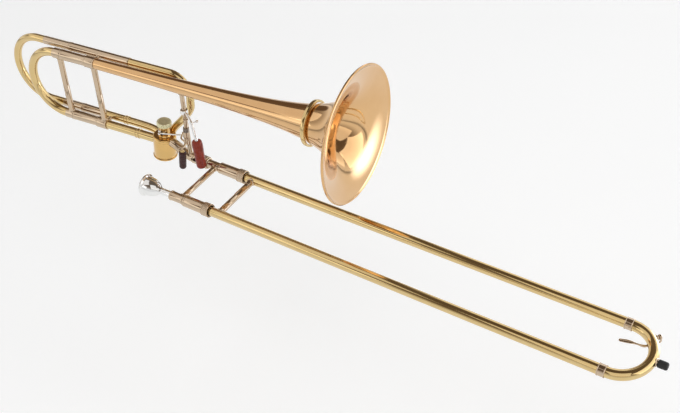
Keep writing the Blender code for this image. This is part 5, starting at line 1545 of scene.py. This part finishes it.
def glow_card(name, centre, facing, size, level, tint, firm=0.08):
    """A pale or dark card with a soft edge that only shows in metal."""
    across = Z_AXIS.cross(Vector(facing)).normalized()
    sheet = card(name, centre, across, Vector(facing).cross(across), size)
    recipe = Recipe(bpy.data.materials.new(name + "_glow"))
    spot = recipe.node("ShaderNodeTexCoord", out="Generated")
    middle = recipe.node("ShaderNodeVectorMath", {"operation": "SUBTRACT"},
                         {0: spot, 1: (0.5, 0.5, 0.5)})
    reach = recipe.node("ShaderNodeVectorMath", {"operation": "LENGTH"}, {0: middle}, "Value")
    share = 1.0 - recipe.step(reach, firm, 0.5)
    glow = recipe.node("ShaderNodeEmission", None, {"Color": (*tint, 1.0), "Strength": level})
    clear = recipe.node("ShaderNodeBsdfTransparent")
    sheet.data.materials.append(
        recipe.surface({0: share, 1: clear, 2: glow}, "ShaderNodeMixShader"))
    sheet.visible_camera = False
    sheet.visible_diffuse = False
    sheet.visible_shadow = False


class TROMBONE_OT_studio(bpy.types.Operator):
    """Makes the floor, the room, the soft lights, two cards and the camera"""
    bl_idname = "trombone.studio"
    bl_label = "Studio"

    def execute(self, context):
        settings = context.scene.trombone_studio
        scene = context.scene
        self.floor(settings)
        self.sky(scene)
        self.lights(settings)
        self.camera(scene)
        scene.view_settings.view_transform = "Standard"
        return {"FINISHED"}

    @staticmethod
    def floor(settings):
        """The floor keeps the shadow, and is lifted to near white where it is seen."""
        floor = card("floor", (0.3, 0.0, settings.floor_height), X_AXIS, Y_AXIS, (60.0, 60.0))
        recipe = Recipe(bpy.data.materials.new("pale_floor"))
        grain = recipe.noise(recipe.node("ShaderNodeTexCoord", out="Object"), 3.0, 3.0)
        pale = tuple(settings.floor)
        shade = recipe.blend(grain, pale, tuple(c * 0.985 for c in pale))
        camera, glossy, through = [recipe.node("ShaderNodeLightPath", out=ray) for ray in
                                   ("Is Camera Ray", "Is Glossy Ray", "Is Transmission Ray")]
        glow = recipe.blend(camera + glossy + through, (0.0, 0.0, 0.0), (settings.floor_lift,) * 3)
        floor.data.materials.append(recipe.surface(
            {"Base Color": shade, "Roughness": 0.9, "Specular IOR Level": 0.0,
             "Emission Color": glow, "Emission Strength": 1.0}))

    @staticmethod
    def sky(scene):
        """A room that is pale round its foot and dark overhead, and warmer where metal sees it."""
        world = bpy.data.worlds.new("studio_room")
        scene.world = world
        recipe = Recipe(world)
        way = recipe.node("ShaderNodeTexCoord", out="Generated")
        height = recipe.node("ShaderNodeSeparateXYZ", None, {"Vector": way}, "Z")
        greys = ((0.0, 0.93, 1.0), (0.12, 0.93, 1.0), (0.36, 0.42, 0.94), (0.62, 0.13, 0.76),
                 (1.0, 0.10, 0.76))
        plain, warm = [recipe.node("ShaderNodeValToRGB", {"stops": [
            (spot, (grey / tone ** power, grey, grey * tone ** power))
            for spot, grey, tone in greys]}, {"Fac": height}, "Color") for power in (0.0, 1.0)]
        shade = recipe.blend(recipe.node("ShaderNodeLightPath", out="Is Glossy Ray"), plain, warm)
        light = recipe.node("ShaderNodeBackground", None, {"Color": shade, "Strength": 1.0})
        recipe.node("ShaderNodeOutputWorld", None, {"Surface": light})

    @staticmethod
    def lights(settings):
        """Big soft boxes all round. The one overhead stays out of the metal's reflections."""
        for name, turn, lift, size, share in (
                ("right_box", 20.0, 27.0, (6.4, 4.2), 1.0),
                ("back_box", 85.0, 24.0, (4.6, 3.0), 0.6),
                ("left_box", 197.0, 46.0, (4.8, 4.0), 0.64),
                ("low_box", 230.0, 18.0, (2.9, 1.6), 0.68),
                ("front_box", 305.0, 48.0, (4.4, 5.0), 0.7),
                ("over_box", 0.0, 89.0, (6.0, 5.0), 0.79)):
            box = soft_box(name, turn, lift, size, settings.box_level * share)
            box.visible_glossy = name != "over_box"
        glow_card("bell_card", (0.88, 0.45, -0.02), (-0.84, -0.53, 0.12), (0.80, 0.60), 4.2,
                  (0.88, 1.0, 1.22))
        glow_card("dark_card", (-1.45, 1.87, 1.15), (0.57, -0.72, -0.38), (3.2, 2.0), 0.12,
                  (1.2, 0.85, 0.6), 0.40)

    @staticmethod
    def camera(scene):
        """The view that was fitted to the photograph."""
        lens = bpy.data.cameras.new("camera")
        lens.lens = 57.704
        lens.sensor_width = 36.0
        lens.clip_start = 0.05
        lens.clip_end = 200.0
        thing = added("camera", lens)
        thing.location = (1.00197, -0.99164, 1.11746)
        thing.rotation_euler = [math.radians(v) for v in (48.37563, 4.58995, 33.33307)]
        scene.camera = thing


# Panel and registration


class TROMBONE_PT_panel(bpy.types.Panel):
    """The instrument's makers and sizes"""
    bl_idname = "TROMBONE_PT_panel"
    bl_label = "Tenor Trombone"
    bl_space_type = "VIEW_3D"
    bl_region_type = "UI"
    bl_category = "Trombone"

    def draw(self, context):
        for maker in MAKERS:
            self.layout.operator(maker.bl_idname)
        for key in GROUPS:
            box = self.layout.box()
            values = getattr(context.scene, key)
            for prop in GROUPS[key].__annotations__:
                box.prop(values, prop)


GROUPS = {"trombone_slide": SlideSizes, "trombone_bell": BellSizes,
          "trombone_valve": ValveSizes, "trombone_finish": Finishes,
          "trombone_studio": StudioSettings}
MAKERS = (TROMBONE_OT_finishes, TROMBONE_OT_studio, TROMBONE_OT_inner_slide,
          TROMBONE_OT_slide_lock, TROMBONE_OT_mouthpiece, TROMBONE_OT_outer_slide,
          TROMBONE_OT_water_key, TROMBONE_OT_bell, TROMBONE_OT_tuning_slide,
          TROMBONE_OT_valve_loop, TROMBONE_OT_valve_tubes, TROMBONE_OT_receiver,
          TROMBONE_OT_valve, TROMBONE_OT_trigger, TROMBONE_OT_hand_rest)


def register():
    for key, group in GROUPS.items():
        bpy.utils.register_class(group)
        setattr(bpy.types.Scene, key, bpy.props.PointerProperty(type=group))
    for maker in MAKERS:
        bpy.utils.register_class(maker)
    bpy.utils.register_class(TROMBONE_PT_panel)


def unregister():
    bpy.utils.unregister_class(TROMBONE_PT_panel)
    for maker in reversed(MAKERS):
        bpy.utils.unregister_class(maker)
    for key, group in reversed(GROUPS.items()):
        delattr(bpy.types.Scene, key)
        bpy.utils.unregister_class(group)


def main():
    register()
    for maker in MAKERS:
        group, name = maker.bl_idname.split(".")
        getattr(getattr(bpy.ops, group), name)()
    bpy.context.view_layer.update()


if __name__ == "__main__":
    main()
